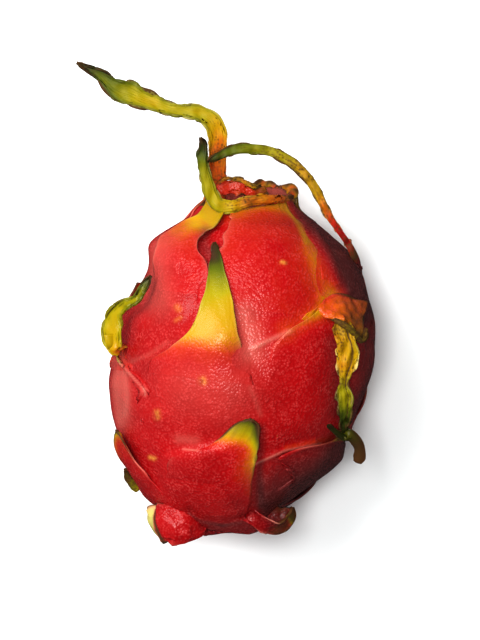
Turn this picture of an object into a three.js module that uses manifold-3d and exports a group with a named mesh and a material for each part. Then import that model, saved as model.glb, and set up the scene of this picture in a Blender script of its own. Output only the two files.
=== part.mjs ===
// A whole red dragon fruit lying on its side, as picked: one grown body whose skin carries leaf-like
// scales, with a crown of longer ones round the hollow where the flower dried.
// Millimetres, +Z up. It lies on z = 0 with the crown towards +Y, seen best from above.
// The body is a round of the axis; each scale is a thin sheet that starts inside the skin, comes out
// of it and ends in a tip. All are fused, because they grew as one piece.

import * as THREE from "three";
import Module from "manifold-3d";
import { mergeVertices } from "three/addons/utils/BufferGeometryUtils.js";

const wasm = await Module();
wasm.setup();

// The body. "Along" is measured on the axis from the stem end towards the crown, "azimuth" round it
// from straight up, positive towards +X.
const GREATEST_RADIUS = 42.4;
const WIDEST_ALONG = 60;
const STEM_REACH = 62; // half length of the ellipse from the widest place to the stem end
const CROWN_REACH = 51; // the same towards the crown, which is more pointed
const NECK_RADIUS = 14.5; // below the crown's rim, where the scales close round the hollow
const NECK_BLEND = 6; // power that rounds the shoulder between body and neck
const HEIGHT_SHARE = 0.96; // the fruit sags a little, so its section is lower than it is wide
const RIM_ALONG = 111.5; // middle of the crown's rim
const RIM_SLANT = 5.0; // the rim is lower in front and higher at the back
const RIM_SLANT_AZIMUTH = -35;
const AXIS_LEAN = 6.8; // degrees that the axis leans to +X from +Y
const STEM_END = { x: -2.7, y: -75 };
const AXIS_HEIGHT = 41; // leaves a flat spot on the belly where z = 0 cuts it
const NECK_SHIFT = -2.5; // the neck stands a little to -X of the axis

// Broad unevenness of the body, as it grew: where, how far it spreads both ways, how high.
const UNEVENNESS = [
  { azimuth: -90, along: 80, spreadAround: 42, spreadAlong: 13, height: -4.4 },
  { azimuth: -90, along: 46, spreadAround: 42, spreadAlong: 18, height: -1.6 },
  { azimuth: 90, along: 91, spreadAround: 50, spreadAlong: 21, height: 3.2 },
  { azimuth: 85, along: 9, spreadAround: 55, spreadAlong: 15, height: -5.2 },
];

// The stem end from the middle outwards and the crown's hollow from the rim inwards, as
// [along, radius] pairs; the hollow's are measured from the rim.
const STEM_DISH = [[1.2, 0], [0.9, 3.2], [-0.6, 4.4], [1.6, 6.6], [0.4, 10.5]];
const CROWN_HOLLOW = [[0.4, 13.2], [-2.5, 11.2], [-9, 9.2], [-12.5, 5.5], [-11.5, 0]];

const BODY_SIDES = 54;
const BODY_BANDS = 28;
const MARGIN_THICKNESS = 0.8;
const SURFACE_TOLERANCE = 0.06;

const { sin, cos, abs, max, min, hypot, atan2, asin, sqrt, exp, PI } = Math;
const radians = (degrees) => (degrees * PI) / 180;
const clamp = (value, low, high) => min(high, max(low, value));
const mix = (a, b, share) => a + (b - a) * share;
const smooth = (low, high, value) => {
  const t = clamp((value - low) / (high - low), 0, 1);
  return t * t * (3 - 2 * t);
};

// A place in the fruit's own frame (across, along, up from the axis) as a point above the table.
const LEAN_SIN = sin(radians(AXIS_LEAN));
const LEAN_COS = cos(radians(AXIS_LEAN));
const neckShift = (along) => NECK_SHIFT * smooth(96, 112, along);
function place(across, along, up) {
  const shifted = across + neckShift(along);
  return new THREE.Vector3(
    STEM_END.x + shifted * LEAN_COS + along * LEAN_SIN,
    STEM_END.y - shifted * LEAN_SIN + along * LEAN_COS,
    AXIS_HEIGHT + up,
  );
}
function fromPlace(point) {
  const dx = point.x - STEM_END.x;
  const dy = point.y - STEM_END.y;
  const along = dx * LEAN_SIN + dy * LEAN_COS;
  const across = dx * LEAN_COS - dy * LEAN_SIN - neckShift(along);
  const up = (point.z - AXIS_HEIGHT) / HEIGHT_SHARE;
  return { across, along, azimuth: atan2(across, up), radius: hypot(across, up) };
}
const direction = (across, up) => new THREE.Vector3(across * LEAN_COS, -across * LEAN_SIN, up);
const shortTurn = (angle) => atan2(sin(angle), cos(angle));

// Radius of the plain body, before the swellings under the scales.
function plainRadius(along) {
  const reach = along < WIDEST_ALONG ? STEM_REACH : CROWN_REACH;
  const share = clamp((along - WIDEST_ALONG) / reach, -0.9995, 0.9995);
  const body = GREATEST_RADIUS * sqrt(1 - share * share);
  const neck = along > WIDEST_ALONG ? NECK_RADIUS : 0;
  return (body ** NECK_BLEND + neck ** NECK_BLEND) ** (1 / NECK_BLEND);
}

const rimAlong = (azimuth) => RIM_ALONG - RIM_SLANT * cos(azimuth - radians(RIM_SLANT_AZIMUTH));

// Rows of a scale, from its root to its tip. on: seen from above, on the skin. around: on the skin by
// azimuth and distance along. air: free of the skin. half is half the width, slant turns the row in
// the skin, roll turns it about the scale's own run, and both are in degrees.
const on = (x, y, half, slant = 0) => ({ x, y, half, turn: slant, grip: 1 });
const around = (azimuth, along, half, slant = 0) => ({ azimuth, along, half, turn: slant, grip: 1 });
const air = (x, y, z, half, roll = 0) => ({ x, y, z, half, turn: roll, grip: 0 });

// swell is how far the skin stands up under the scale's root, and reach how far down the fruit that
// goes. lift is how far the tip stands off the skin, settled the share of the length by which it does,
// flare how far the margins stand off more than the middle (leftFlare where the one to -X differs), and
// bend how many degrees a free row arches over half its width.
const SCALES = [
  {
    name: "front centre",
    rows: [
      on(-10, -40, 21), on(-10, -28, 21), on(-10.4, -19.5, 18.4), on(-6.9, -15.5, 13.4), on(-4.7, -11, 9.7),
      on(-3.3, -4, 6.6), on(-2.6, 3, 4.8), on(-2.9, 10, 3.1), on(-3.3, 16, 1.9), on(-3.7, 20.8, 0.5),
    ],
    shoulder: 2, swell: 3.2, reach: 34, lift: 2.2, settled: 0.45, flare: 0.4, thick: 1.6, columns: 5,
  },
  {
    name: "lower centre",
    rows: [
      on(-7, -71, 15), on(-7, -64, 16.6), on(-6.6, -57, 16.4), on(-5.2, -51.5, 15), on(-1, -48, 11.4), on(3.2, -45, 7.8),
      on(6.6, -41.5, 4.3), on(8.8, -38.9, 1.7), on(9.3, -37.4, 0.5),
    ],
    shoulder: 3, swell: 3, reach: 24, lift: 2.6, settled: 0.3, flare: 1.4, leftFlare: -2.2, thick: 1.6, columns: 5,
  },
  {
    name: "upper right",
    rows: [
      on(10, -14, 23), on(12, -2, 22.5), on(13.5, 10, 20), on(14.2, 20, 16.2), on(13.6, 26, 13.4),
      on(12.3, 30.2, 11.4, 7), on(11.2, 33, 10, 13),
    ],
    shoulder: 4, swell: 2.8, reach: 40, lift: 1.8, flare: 0.8, thick: 1.6, columns: 5,
  },
  {
    name: "upper left",
    rows: [
      on(-14, -14, 18), on(-17, -3, 15.5), on(-18, 7, 13.2), on(-17.3, 14, 11), on(-16.8, 19, 8.8),
      on(-15.2, 23, 7.6), on(-11, 26.3, 6.4, -12), on(-6.5, 28, 4.9, -20), on(-4, 31.5, 4.6, -8),
      on(-3, 35, 3.4, -8),
    ],
    shoulder: 4, swell: 2.6, reach: 34, lift: 2.4, flare: 1.2, thick: 1.5, columns: 5,
  },
  {
    name: "right centre",
    rows: [
      on(36.5, -36, 25), on(37.5, -24, 27), on(38, -15, 26), on(38, -11, 22), on(37.6, -7.5, 16), on(37.2, -4, 10.5),
      on(37, 0, 6),
    ],
    shoulder: 2, swell: 2.4, reach: 28, lift: 1.3, flare: 0.2, thick: 1.3, columns: 5,
  },
  {
    name: "right centre, its tip folded out over the side",
    rows: [
      air(29.5, -4.6, 73.5, 0.8), air(32.5, -2.2, 75, 3), air(36, -0.5, 75, 4.7), air(39.5, -1, 73.4, 5.2),
      air(42.4, -2.9, 71, 5.5), air(44.6, -4.8, 67.6, 5.8),
    ],
    lift: 0, thick: 1.5, columns: 4, bend: 25,
  },
  {
    name: "right centre, dried ribbon of its tip",
    rows: [
      air(38.6, -3.4, 74, 2.4), air(39.2, -7.5, 73.6, 3), air(39.7, -11.8, 72, 2.2), air(40, -15.5, 71.3, 3.9, 15),
      air(39.7, -19.8, 70.2, 3.2, -10), air(39.2, -24.8, 68.9, 1.6), air(38.8, -27.5, 68.3, 2.1),
      air(39.3, -31, 66.6, 2.6, 20), air(39.3, -35.5, 63.6, 1.9), air(39.1, -42.2, 57.2, 0.5),
    ],
    lift: 0, thick: 1.2, columns: 3, bend: 20,
  },
  {
    name: "lower right",
    rows: [
      on(29, -66, 17), on(32, -58, 22), on(35.5, -51.5, 25), on(37, -48, 20), on(38, -46.2, 12),
      on(38.6, -44.8, 5.5), air(40.6, -42.6, 58.5, 2.2), air(43.2, -45, 56.5, 2.2), air(44.4, -48.4, 53.5, 2.1),
      air(43.8, -51.8, 51, 1.2),
    ],
    shoulder: 2, swell: 2.6, reach: 20, lift: 1.8, flare: 1.0, thick: 1.8, columns: 6, bend: 45,
  },
  {
    name: "lower right, torn strip of its margin",
    rows: [air(40, -44.4, 55, 1.2), air(37.6, -42.8, 59, 1.1), air(34.7, -40.5, 62.6, 0.9), air(31.2, -37.9, 66, 0.4)],
    lift: 0, thick: 1.2, columns: 2, bend: 40,
  },
  {
    name: "left centre",
    rows: [
      around(-80, 33, 24), around(-80, 43, 27), around(-80, 49.5, 20), around(-79, 55, 12), around(-77, 60, 6.5),
      air(-37.9, -11.5, 59, 4.2, -28), air(-37.6, -6.5, 61.5, 3.9, -25), air(-36.2, -2.3, 63.5, 2.6, -10),
      air(-33.2, 0.4, 65.8, 1.8), air(-29.3, 2.4, 68.2, 1.4), air(-27.5, 5.4, 68.8, 1.7), air(-24.7, 9.8, 68.6, 0.4),
    ],
    shoulder: 1, swell: 2.4, reach: 26, lift: 1.4, flare: 1.0, thick: 1.3, columns: 6, bend: 15,
  },
  {
    name: "lower left",
    rows: [
      around(-74, 5, 11.5), around(-74, 11, 12.5), around(-73.5, 16.5, 11), around(-72.5, 21, 8),
      around(-70.5, 25.2, 4.6), around(-68.5, 28, 2), around(-68, 29.4, 0.5),
    ],
    shoulder: 1, swell: 1.8, reach: 14, lift: 2.6, flare: 0.6, thick: 1.4, columns: 5,
  },
  {
    name: "neck, right",
    rows: [
      around(60, 78, 15), around(59, 89, 13.5), around(56, 98, 10.5), around(52, 105, 7.5), around(46, 110.5, 5.2),
      around(42, 115, 3.2),
    ],
    shoulder: 1, swell: 1.6, reach: 20, lift: 1.8, flare: 0.3, thick: 1.5, columns: 5,
  },
  {
    name: "right side, arching over the crown",
    rows: [
      around(98, 54, 20), around(97, 66, 17), around(94, 76, 10.5), around(90, 84, 5.4), around(88, 90, 3.2),
      air(43, 15.8, 51.5, 2.2, 20), air(40.6, 20.4, 54, 2), air(37, 25.4, 56.4, 1.6), air(34, 29.9, 58, 1.7),
      air(31.3, 35.2, 59.2, 1.9), air(29.2, 39.2, 60, 1.9), air(25.7, 43.8, 61, 1.9), air(21.2, 47.7, 62, 2),
      air(15, 50.7, 63, 2), air(9, 51.7, 64, 2.1), air(4, 51.6, 65, 1.9), air(-0.3, 50.2, 66, 1.5),
      air(-3.3, 48.8, 67, 1), air(-6, 47.5, 68, 0.4),
    ],
    shoulder: 1, swell: 2.2, reach: 26, lift: 2.2, flare: 0.8, thick: 1.5, columns: 4, bend: 40,
  },
  {
    name: "crown, longest",
    rows: [
      air(-3.2, 29, 43, 3.4, -20), air(-2.8, 38, 46, 3.2, -20), air(-2.7, 45, 49.5, 2.8, -10), air(-2.8, 51.5, 52.5, 2.9),
      air(-2.7, 56.5, 54.5, 2.9), air(-4.2, 60.6, 56, 2.9), air(-8.6, 63.5, 57, 2.7), air(-13, 64.3, 57.5, 2.3),
      air(-18.3, 65, 58, 2.3, 10), air(-23.7, 66.8, 58.5, 2.9, 15), air(-27.7, 68.3, 59, 3.2, 15),
      air(-31.7, 69.9, 59.5, 4.1, 10), air(-35, 71, 60, 3.9), air(-37.7, 72.9, 60.5, 2.9), air(-40.7, 75.6, 61, 2.1),
      air(-44.7, 77.8, 61.5, 1.3), air(-49.3, 80.2, 62, 0.4),
    ],
    lift: 0, thick: 1.3, columns: 4, bend: -25,
  },
  {
    name: "crown, front finger along the rim",
    rows: [
      air(19, 35.2, 56, 1.3), air(14.3, 35.6, 58.6, 1.6), air(9.3, 34.9, 60.4, 1.8), air(5.7, 33.8, 61.4, 2),
      air(1.4, 32.7, 62, 2.5), air(-2.5, 33.2, 62.6, 2.9), air(-4.9, 36.6, 63.4, 2.8), air(-6, 40.5, 64.4, 2.4),
      air(-7.2, 44.5, 65.4, 2), air(-8, 48.5, 66.4, 1.7), air(-7.6, 51.8, 67, 1.9), air(-8.1, 55.2, 67.4, 0.4),
    ],
    lift: 0, thick: 2.4, columns: 4, bend: 60,
  },
  {
    name: "crown, left",
    rows: [
      around(-82, 88, 13), around(-84, 96, 11), around(-88, 103, 7.5), around(-92, 109, 4.8), around(-96, 114, 2.6),
      around(-98, 118, 0.6),
    ],
    shoulder: 1, swell: 0.5, reach: 18, lift: 0.6, flare: 0.4, thick: 1.4, columns: 4,
  },
  {
    name: "left back",
    rows: [
      around(-113, 50, 19), around(-112, 60, 18), around(-110, 66, 12), around(-108, 71, 7.5), around(-105, 77, 4.2),
      around(-102, 84, 1.8), around(-100, 88, 0.5),
    ],
    shoulder: 1, swell: 2.2, reach: 24, lift: 2.6, flare: 0.8, thick: 1.3, columns: 4,
  },
  {
    name: "stem end, right, curled up",
    rows: [
      air(3, -67, 56, 6, 0), air(8.5, -69.8, 58, 4.6, 25), air(13.6, -73, 56, 4.2, 50), air(17.6, -74, 53.5, 3.8, 68),
      air(20.8, -72, 52, 3.2, 75), air(22.4, -69.6, 51.5, 2, 78), air(22.4, -67.2, 51.5, 0.8, 80),
    ],
    lift: 0, thick: 1.5, columns: 4, bend: -20,
  },
  {
    name: "stem end, left, a stout cut lobe",
    rows: [
      air(-5, -68, 53, 6), air(-10, -71, 55.5, 7.6), air(-15, -72.2, 57, 8.5), air(-20, -72.4, 56, 8.2),
      air(-23.8, -72, 53.5, 7.4),
    ],
    lift: 0, thick: 8, columns: 5, bend: 52,
  },
];

// The side that the table hides: scales by a rule, in tiers round the fruit, each with the same
// pointed outline, a little varied by a seeded draw.
const BACK_TIERS = [
  { along: 11, azimuths: [112, 158, -122], half: 15, length: 17, reach: 12, lift: 1.8, lean: 2 },
  { along: 44, azimuths: [118, 170, -136], half: 23, length: 25, reach: 26, lift: 2.2, lean: 4 },
  { along: 77, azimuths: [144, -164], half: 20, length: 24, reach: 24, lift: 2.6, lean: -5 },
  { along: 99, azimuths: [128, 174, -134], half: 10, length: 17, reach: 14, lift: 3.5, lean: 3 },
];
// The outline of such a scale: how far up its length a row is, and its share of the half width.
const BACK_OUTLINE = [[-0.5, 0.92], [-0.12, 1], [0.08, 0.72], [0.25, 0.46], [0.48, 0.28], [0.72, 0.16], [0.9, 0.08], [1, 0.03]];
const BACK_SEED = 7;

function seeded(seed) {
  let state = seed;
  return () => {
    state = (state * 16807) % 2147483647;
    return state / 2147483647 - 0.5;
  };
}

function backScales() {
  const draw = seeded(BACK_SEED);
  return BACK_TIERS.flatMap((tier) =>
    tier.azimuths.map((azimuth) => {
      const length = tier.length * (1 + 0.25 * draw());
      const lean = tier.lean + 14 * draw();
      return {
        name: `back ${tier.along} ${azimuth}`,
        rows: BACK_OUTLINE.map(([up, wide]) =>
          around(azimuth + lean * max(0, up) ** 1.5, tier.along + length * up, max(0.5, tier.half * wide)),
        ),
        shoulder: 1, swell: 2.2, reach: tier.reach, lift: tier.lift, flare: 0.6, thick: 1.3, columns: 4,
      };
    }),
  );
}

// Where a row given from above sits on the plain skin.
function skinPlace(row) {
  if (row.azimuth !== undefined) return { azimuth: radians(row.azimuth), along: row.along };
  const { across, along } = fromPlace(new THREE.Vector3(row.x, row.y, AXIS_HEIGHT));
  return { azimuth: asin(clamp(across / plainRadius(along), -0.99, 0.99)), along };
}

const ALL_SCALES = [...SCALES, ...backScales()];
const SWELLINGS = ALL_SCALES.filter((scale) => scale.shoulder !== undefined).map((scale) => {
  const course = scale.rows.filter((row) => row.grip).map((row) => ({ ...skinPlace(row), half: row.half }));
  return { ...scale, course, crest: course[scale.shoulder].along, tip: course[course.length - 1].along };
});

// Where the middle of a scale is at a distance along the fruit, and how wide it is there.
function courseAt(course, along) {
  const next = course.findIndex((row) => row.along > along);
  if (next === 0) return course[0];
  if (next < 0) return course[course.length - 1];
  const [low, high] = [course[next - 1], course[next]];
  const share = (along - low.along) / (high.along - low.along);
  return { azimuth: mix(low.azimuth, high.azimuth, share), half: mix(low.half, high.half, share) };
}

// How far the skin stands off the plain body: a long swelling below each scale that narrows with it
// and falls away above its shoulders, so that the scale comes out of its crest.
function relief(azimuth, along) {
  const radius = plainRadius(along);
  const ends = smooth(0, 9, along) * (1 - smooth(rimAlong(azimuth) - 7, rimAlong(azimuth), along));
  let height = 0;
  for (const { course, crest, tip, swell, reach } of SWELLINGS) {
    const middle = courseAt(course, along);
    const side = abs(shortTurn(azimuth - middle.azimuth) * radius) / (middle.half * 1.12 + 1);
    if (side >= 1) continue;
    const below = smooth(-reach, -0.1 * reach, along - crest);
    const above = 1 - smooth(crest, mix(crest, tip, 0.8), along);
    height += swell * (1 - side * side) ** 1.3 * below * above;
  }
  for (const { azimuth: middle, along: level, spreadAround, spreadAlong, height: rise } of UNEVENNESS) {
    const side = shortTurn(azimuth - radians(middle)) / radians(spreadAround);
    height += rise * exp(-(side ** 2) - ((along - level) / spreadAlong) ** 2);
  }
  return height * ends;
}

function skinPoint(azimuth, along, lift = 0) {
  const radius = plainRadius(along) + relief(azimuth, along) + lift;
  return place(radius * sin(azimuth), along, radius * cos(azimuth) * HEIGHT_SHARE);
}

function bodySolid() {
  const bands = [];
  for (const [along, radius] of STEM_DISH) bands.push(() => ({ along, radius }));
  for (let k = 0; k <= BODY_BANDS; k += 1) {
    const share = 0.5 - 0.5 * cos((PI * k) / BODY_BANDS);
    bands.push((azimuth) => {
      const along = mix(share, k / BODY_BANDS, 0.5) * rimAlong(azimuth);
      return { along, radius: plainRadius(along) + relief(azimuth, along) };
    });
  }
  for (const [down, radius] of CROWN_HOLLOW) {
    bands.push((azimuth) => ({ along: rimAlong(azimuth * (radius > 0)) + down, radius }));
  }
  return solidOfGrid(bands.length - 1, BODY_SIDES, (i, j) => {
    const azimuth = (2 * PI * j) / BODY_SIDES;
    const { along, radius } = bands[i](azimuth);
    return place(radius * sin(azimuth), along, radius * cos(azimuth) * HEIGHT_SHARE);
  });
}

// The rows of a scale as centres with a direction across, ready to be joined by a sheet.
function framedRows(scale) {
  const rows = scale.rows.map((row, i) => {
    const share = i / (scale.rows.length - 1);
    const lift = mix(-1.1, scale.lift, smooth(0, scale.settled ?? 0.55, share));
    const spot = row.grip ? skinPlace(row) : null;
    const centre = row.grip ? skinPoint(spot.azimuth, spot.along, lift) : new THREE.Vector3(row.x, row.y, row.z);
    return { ...row, centre, lift, spot };
  });
  rows.forEach((row, i) => {
    const before = rows[max(0, i - 1)].centre;
    const after = rows[min(rows.length - 1, i + 1)].centre;
    const run = after.clone().sub(before).normalize();
    const out = row.grip
      ? direction(sin(row.spot.azimuth), cos(row.spot.azimuth))
      : new THREE.Vector3(0, 0, 1);
    const across = row.grip
      ? direction(cos(row.spot.azimuth), -sin(row.spot.azimuth))
      : new THREE.Vector3().crossVectors(run, out).normalize();
    const axis = row.grip ? out : run;
    row.across = across.applyAxisAngle(axis, radians(row.turn));
    row.out = row.grip ? out : new THREE.Vector3().crossVectors(row.across, run).normalize();
  });
  return rows;
}

// A point of the scale's outer face on row i, u from -1 to 1 across.
function facePoint(scale, row, u) {
  const arch = radians(scale.bend ?? 0) * (1 - row.grip) + (row.half / GREATEST_RADIUS) * row.grip;
  const sideways = abs(arch) > 0.01 ? (sin(arch * u) / arch) * row.half : u * row.half;
  const drop = abs(arch) > 0.01 ? ((1 - cos(arch * u)) / arch) * row.half : 0;
  const point = row.centre.clone().addScaledVector(row.across, sideways).addScaledVector(row.out, -drop);
  if (!row.grip) return point;
  const { azimuth, along } = fromPlace(point);
  const flare = (u < 0 ? scale.leftFlare : null) ?? scale.flare ?? 0;
  return skinPoint(azimuth, along, row.lift + flare * abs(u) ** 3 * smooth(-1.1, 0.6, row.lift));
}

// The sheet between its outer face and an inner one, thinner at the margins.
function scaleSolid(scale) {
  const rows = framedRows(scale);
  const columns = scale.columns;
  const outer = rows.map((row) =>
    Array.from({ length: columns + 1 }, (_, j) => facePoint(scale, row, (2 * j) / columns - 1)),
  );
  const last = rows.length - 1;
  const inner = outer.map((line, i) =>
    line.map((point, j) => {
      const run = outer[min(last, i + 1)][j].clone().sub(outer[max(0, i - 1)][j]);
      const side = line[min(columns, j + 1)].clone().sub(line[max(0, j - 1)]);
      const normal = side.cross(run).normalize();
      const u = (2 * j) / columns - 1;
      const tip = min(1, rows[i].half / 1.5);
      return point.clone().addScaledVector(normal, -mix(MARGIN_THICKNESS, scale.thick, (1 - u * u) * tip));
    }),
  );
  // Each row is a closed ring: the outer face from left to right, then the inner one back.
  const rings = outer.map((line, i) => [...line, ...inner[i].slice().reverse()]);
  return solidOfRings(rings);
}

// A closed solid from rings of equal length, with flat fans over the first and the last.
function solidOfRings(rings) {
  const count = rings[0].length;
  const triangles = [];
  for (let i = 0; i < rings.length - 1; i += 1) {
    for (let j = 0; j < count; j += 1) {
      const k = (j + 1) % count;
      const [a, b, c, d] = [rings[i][j], rings[i][k], rings[i + 1][k], rings[i + 1][j]];
      triangles.push(a, b, c, a, c, d);
    }
  }
  const half = count / 2;
  for (const [ring, turned] of [[rings[0], true], [rings[rings.length - 1], false]]) {
    for (let j = 0; j < half - 1; j += 1) {
      const [a, b, c, d] = [ring[j], ring[j + 1], ring[count - 2 - j], ring[count - 1 - j]];
      triangles.push(...(turned ? [a, c, b, a, d, c] : [a, b, c, a, c, d]));
    }
  }
  return solidOfTriangles(triangles);
}

// A closed solid from a grid whose first and last lines each shrink to one point.
function solidOfGrid(lines, sides, at) {
  const triangles = [];
  for (let i = 0; i < lines; i += 1) {
    for (let j = 0; j < sides; j += 1) {
      const k = (j + 1) % sides;
      const [a, b, c, d] = [at(i, j), at(i, k), at(i + 1, k), at(i + 1, j)];
      if (i > 0) triangles.push(a, b, c);
      if (i < lines - 1) triangles.push(a, c, d);
    }
  }
  return solidOfTriangles(triangles);
}

function solidOfTriangles(corners) {
  const geometry = new THREE.BufferGeometry().setFromPoints(corners);
  return solidOfGeometry(geometry);
}

function solidOfGeometry(geometry) {
  const bare = geometry.index ? geometry.toNonIndexed() : geometry.clone();
  for (const name of Object.keys(bare.attributes)) if (name !== "position") bare.deleteAttribute(name);
  const merged = mergeVertices(bare, 1e-4);
  const kept = [];
  const index = merged.index.array;
  for (let i = 0; i < index.length; i += 3) {
    const [a, b, c] = [index[i], index[i + 1], index[i + 2]];
    if (a !== b && b !== c && c !== a) kept.push(a, b, c);
  }
  return new wasm.Manifold(
    new wasm.Mesh({
      numProp: 3,
      vertProperties: new Float32Array(merged.attributes.position.array),
      triVerts: new Uint32Array(kept),
    }),
  );
}

function geometryOfSolid(solid) {
  const { vertProperties, triVerts } = solid.getMesh();
  const geometry = new THREE.BufferGeometry();
  geometry.setAttribute("position", new THREE.BufferAttribute(new Float32Array(vertProperties), 3));
  geometry.setIndex(new THREE.BufferAttribute(new Uint32Array(triVerts), 1));
  geometry.computeVertexNormals();
  return geometry;
}

// The table presses everything that would reach below it flat.
function aboveTable(solid) {
  const slab = new THREE.BoxGeometry(400, 400, 100);
  slab.translate(0, 0, -50);
  return solid.subtract(solidOfGeometry(slab));
}

function wholeFruit() {
  const grown = ALL_SCALES.reduce((fruit, scale) => fruit.add(scaleSolid(scale)), bodySolid());
  const pieces = aboveTable(grown).simplify(SURFACE_TOLERANCE).decompose();
  return pieces.reduce((largest, piece) => (piece.volume() > largest.volume() ? piece : largest));
}

const peel = new THREE.MeshStandardMaterial({ color: 0xc81e28, roughness: 0.42, metalness: 0 });
const fruit = new THREE.Mesh(geometryOfSolid(wholeFruit()), peel);
fruit.name = "dragon_fruit";

const group = new THREE.Group();
group.add(fruit);

export default group;
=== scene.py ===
"""Looks for one whole red dragon fruit that lies on its side, built round its solid.

Lengths are in millimetres until a mesh is made, with +Z up, the crown towards +Y, and the fruit seen
best from straight above. "Along" is measured on the fruit's axis from the stem end to the crown, and
"azimuth" round that axis from straight up, positive towards +X.
"""

import logging
import math
from dataclasses import dataclass
from enum import Enum
from typing import Optional, Sequence

import bpy
import numpy as np
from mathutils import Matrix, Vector


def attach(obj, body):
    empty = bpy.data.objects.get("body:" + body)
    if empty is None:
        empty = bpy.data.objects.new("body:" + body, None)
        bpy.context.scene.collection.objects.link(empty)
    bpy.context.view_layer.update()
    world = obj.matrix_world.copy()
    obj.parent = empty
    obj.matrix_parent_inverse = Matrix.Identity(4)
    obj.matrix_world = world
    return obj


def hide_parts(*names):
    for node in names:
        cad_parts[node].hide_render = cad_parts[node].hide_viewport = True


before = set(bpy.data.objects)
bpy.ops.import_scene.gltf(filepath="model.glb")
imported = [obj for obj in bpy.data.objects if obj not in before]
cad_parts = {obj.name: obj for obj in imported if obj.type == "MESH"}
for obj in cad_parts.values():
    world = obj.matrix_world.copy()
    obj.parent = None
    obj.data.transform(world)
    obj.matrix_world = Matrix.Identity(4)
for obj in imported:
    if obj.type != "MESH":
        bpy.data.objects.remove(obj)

LOG = logging.getLogger("dragon_fruit")
MM = 0.001
CAD_NODE = "dragon_fruit"
CAD_BODY = "root"
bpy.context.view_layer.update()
SHEET = "sheet"
NUMBER = "NodeSocketFloat"
WAX_IOR = 1.28
LEAST_ARCH = 0.01

Points = np.ndarray
Line = tuple[tuple[float, float], ...]
Marks = dict[str, np.ndarray]
Colour = tuple[float, float, float, float]
ColourStops = Sequence[tuple[float, tuple[float, float, float]]]


def ease(low: float, high: float, value: np.ndarray) -> np.ndarray:
    """Rises smoothly from 0 at low to 1 at high.

    Args:
        low: Where the rise starts.
        high: Where the rise ends.
        value: Where it is read.

    Returns:
        The share, as an array like value.
    """
    t = np.clip((np.asarray(value, float) - low) / (high - low), 0.0, 1.0)
    return t * t * (3.0 - 2.0 * t)


def unit(vectors: Points) -> Points:
    """Vectors of the same directions and of length 1."""
    return vectors / np.maximum(np.linalg.norm(vectors, axis=-1, keepdims=True), 1e-9)


def turned(vectors: Points, axes: Points, angles: np.ndarray) -> Points:
    """Vectors turned about axes.

    Args:
        vectors: What is turned, one per row.
        axes: Unit axes, one per row.
        angles: Radians, one per row.

    Returns:
        The turned vectors.
    """
    cosine = np.cos(angles)[..., None]
    sine = np.sin(angles)[..., None]
    along = (vectors * axes).sum(-1, keepdims=True) * axes
    return along + (vectors - along) * cosine + np.cross(axes, vectors) * sine


def through(knots: np.ndarray, values: np.ndarray, at: np.ndarray, held: bool = False) -> np.ndarray:
    """A smooth curve through values.

    Args:
        knots: Rising places of the values.
        values: One row of values per knot.
        at: Where the curve is read.
        held: Whether the curve may not swing past its values.

    Returns:
        One row per place in at.
    """
    values = np.asarray(values, float)
    slopes = np.gradient(values, knots, axis=0)
    if held:
        steps = np.diff(values, axis=0) / np.diff(knots).reshape((-1,) + (1,) * (values.ndim - 1))
        before = np.concatenate([steps[:1], steps])
        after = np.concatenate([steps, steps[-1:]])
        limit = 3.0 * np.minimum(abs(before), abs(after))
        slopes = np.where(before * after > 0, np.clip(slopes, -limit, limit), 0.0)
    index = np.clip(np.searchsorted(knots, at, side="right") - 1, 0, len(knots) - 2)
    shape = (-1,) + (1,) * (values.ndim - 1)
    gap = (knots[index + 1] - knots[index]).reshape(shape)
    t = ((at - knots[index]) / (knots[index + 1] - knots[index])).reshape(shape)
    start = (1 + 2 * t) * (1 - t) ** 2 * values[index] + t * (1 - t) ** 2 * gap * slopes[index]
    end = t * t * (3 - 2 * t) * values[index + 1] + t * t * (t - 1) * gap * slopes[index + 1]
    return start + end


class Ripple:
    """A smooth random field in space, made of waves whose directions and phases come from a seed."""

    def __init__(self, seed: int, wavelength: float, waves: int = 16) -> None:
        """Draws the waves.

        Args:
            seed: Seed of the draw.
            wavelength: Middle wavelength in millimetres.
            waves: How many waves are added up.
        """
        draw = np.random.default_rng(seed)
        directions = unit(draw.normal(size=(waves, 3)))
        self.waves = directions * draw.uniform(0.7, 1.4, (waves, 1)) * 2.0 * math.pi / wavelength
        self.phases = draw.uniform(0.0, 2.0 * math.pi, waves)

    def __call__(self, points: Points) -> np.ndarray:
        """The field at points, mostly between -1 and 1."""
        return np.sin(points @ self.waves.T + self.phases).sum(-1) / math.sqrt(len(self.phases))


@dataclass(frozen=True)
class Row:
    """One row of a scale: where its middle is, half its width and by how many degrees it is turned.

    A row lies on the skin where z is None, and is placed there by x and y as seen from above, or by
    azimuth and along. With a z it is free of the skin.
    """

    half: float
    x: float = 0.0
    y: float = 0.0
    z: Optional[float] = None
    azimuth: Optional[float] = None
    along: float = 0.0
    turn: float = 0.0


def on(x: float, y: float, half: float, turn: float = 0.0) -> Row:
    """A row on the skin, placed as seen from above."""
    return Row(half=half, x=x, y=y, turn=turn)


def around(azimuth: float, along: float, half: float, turn: float = 0.0) -> Row:
    """A row on the skin, placed by azimuth and distance along the fruit."""
    return Row(half=half, azimuth=azimuth, along=along, turn=turn)


def air(x: float, y: float, z: float, half: float, turn: float = 0.0) -> Row:
    """A row that is free of the skin."""
    return Row(half=half, x=x, y=y, z=z, turn=turn)


class Wear(Enum):
    """What a scale is made of where it is seen: fleshy peel, or a thin leaf that has begun to dry."""

    FLESHY = "peel"
    LEAFY = "leaf"


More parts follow.
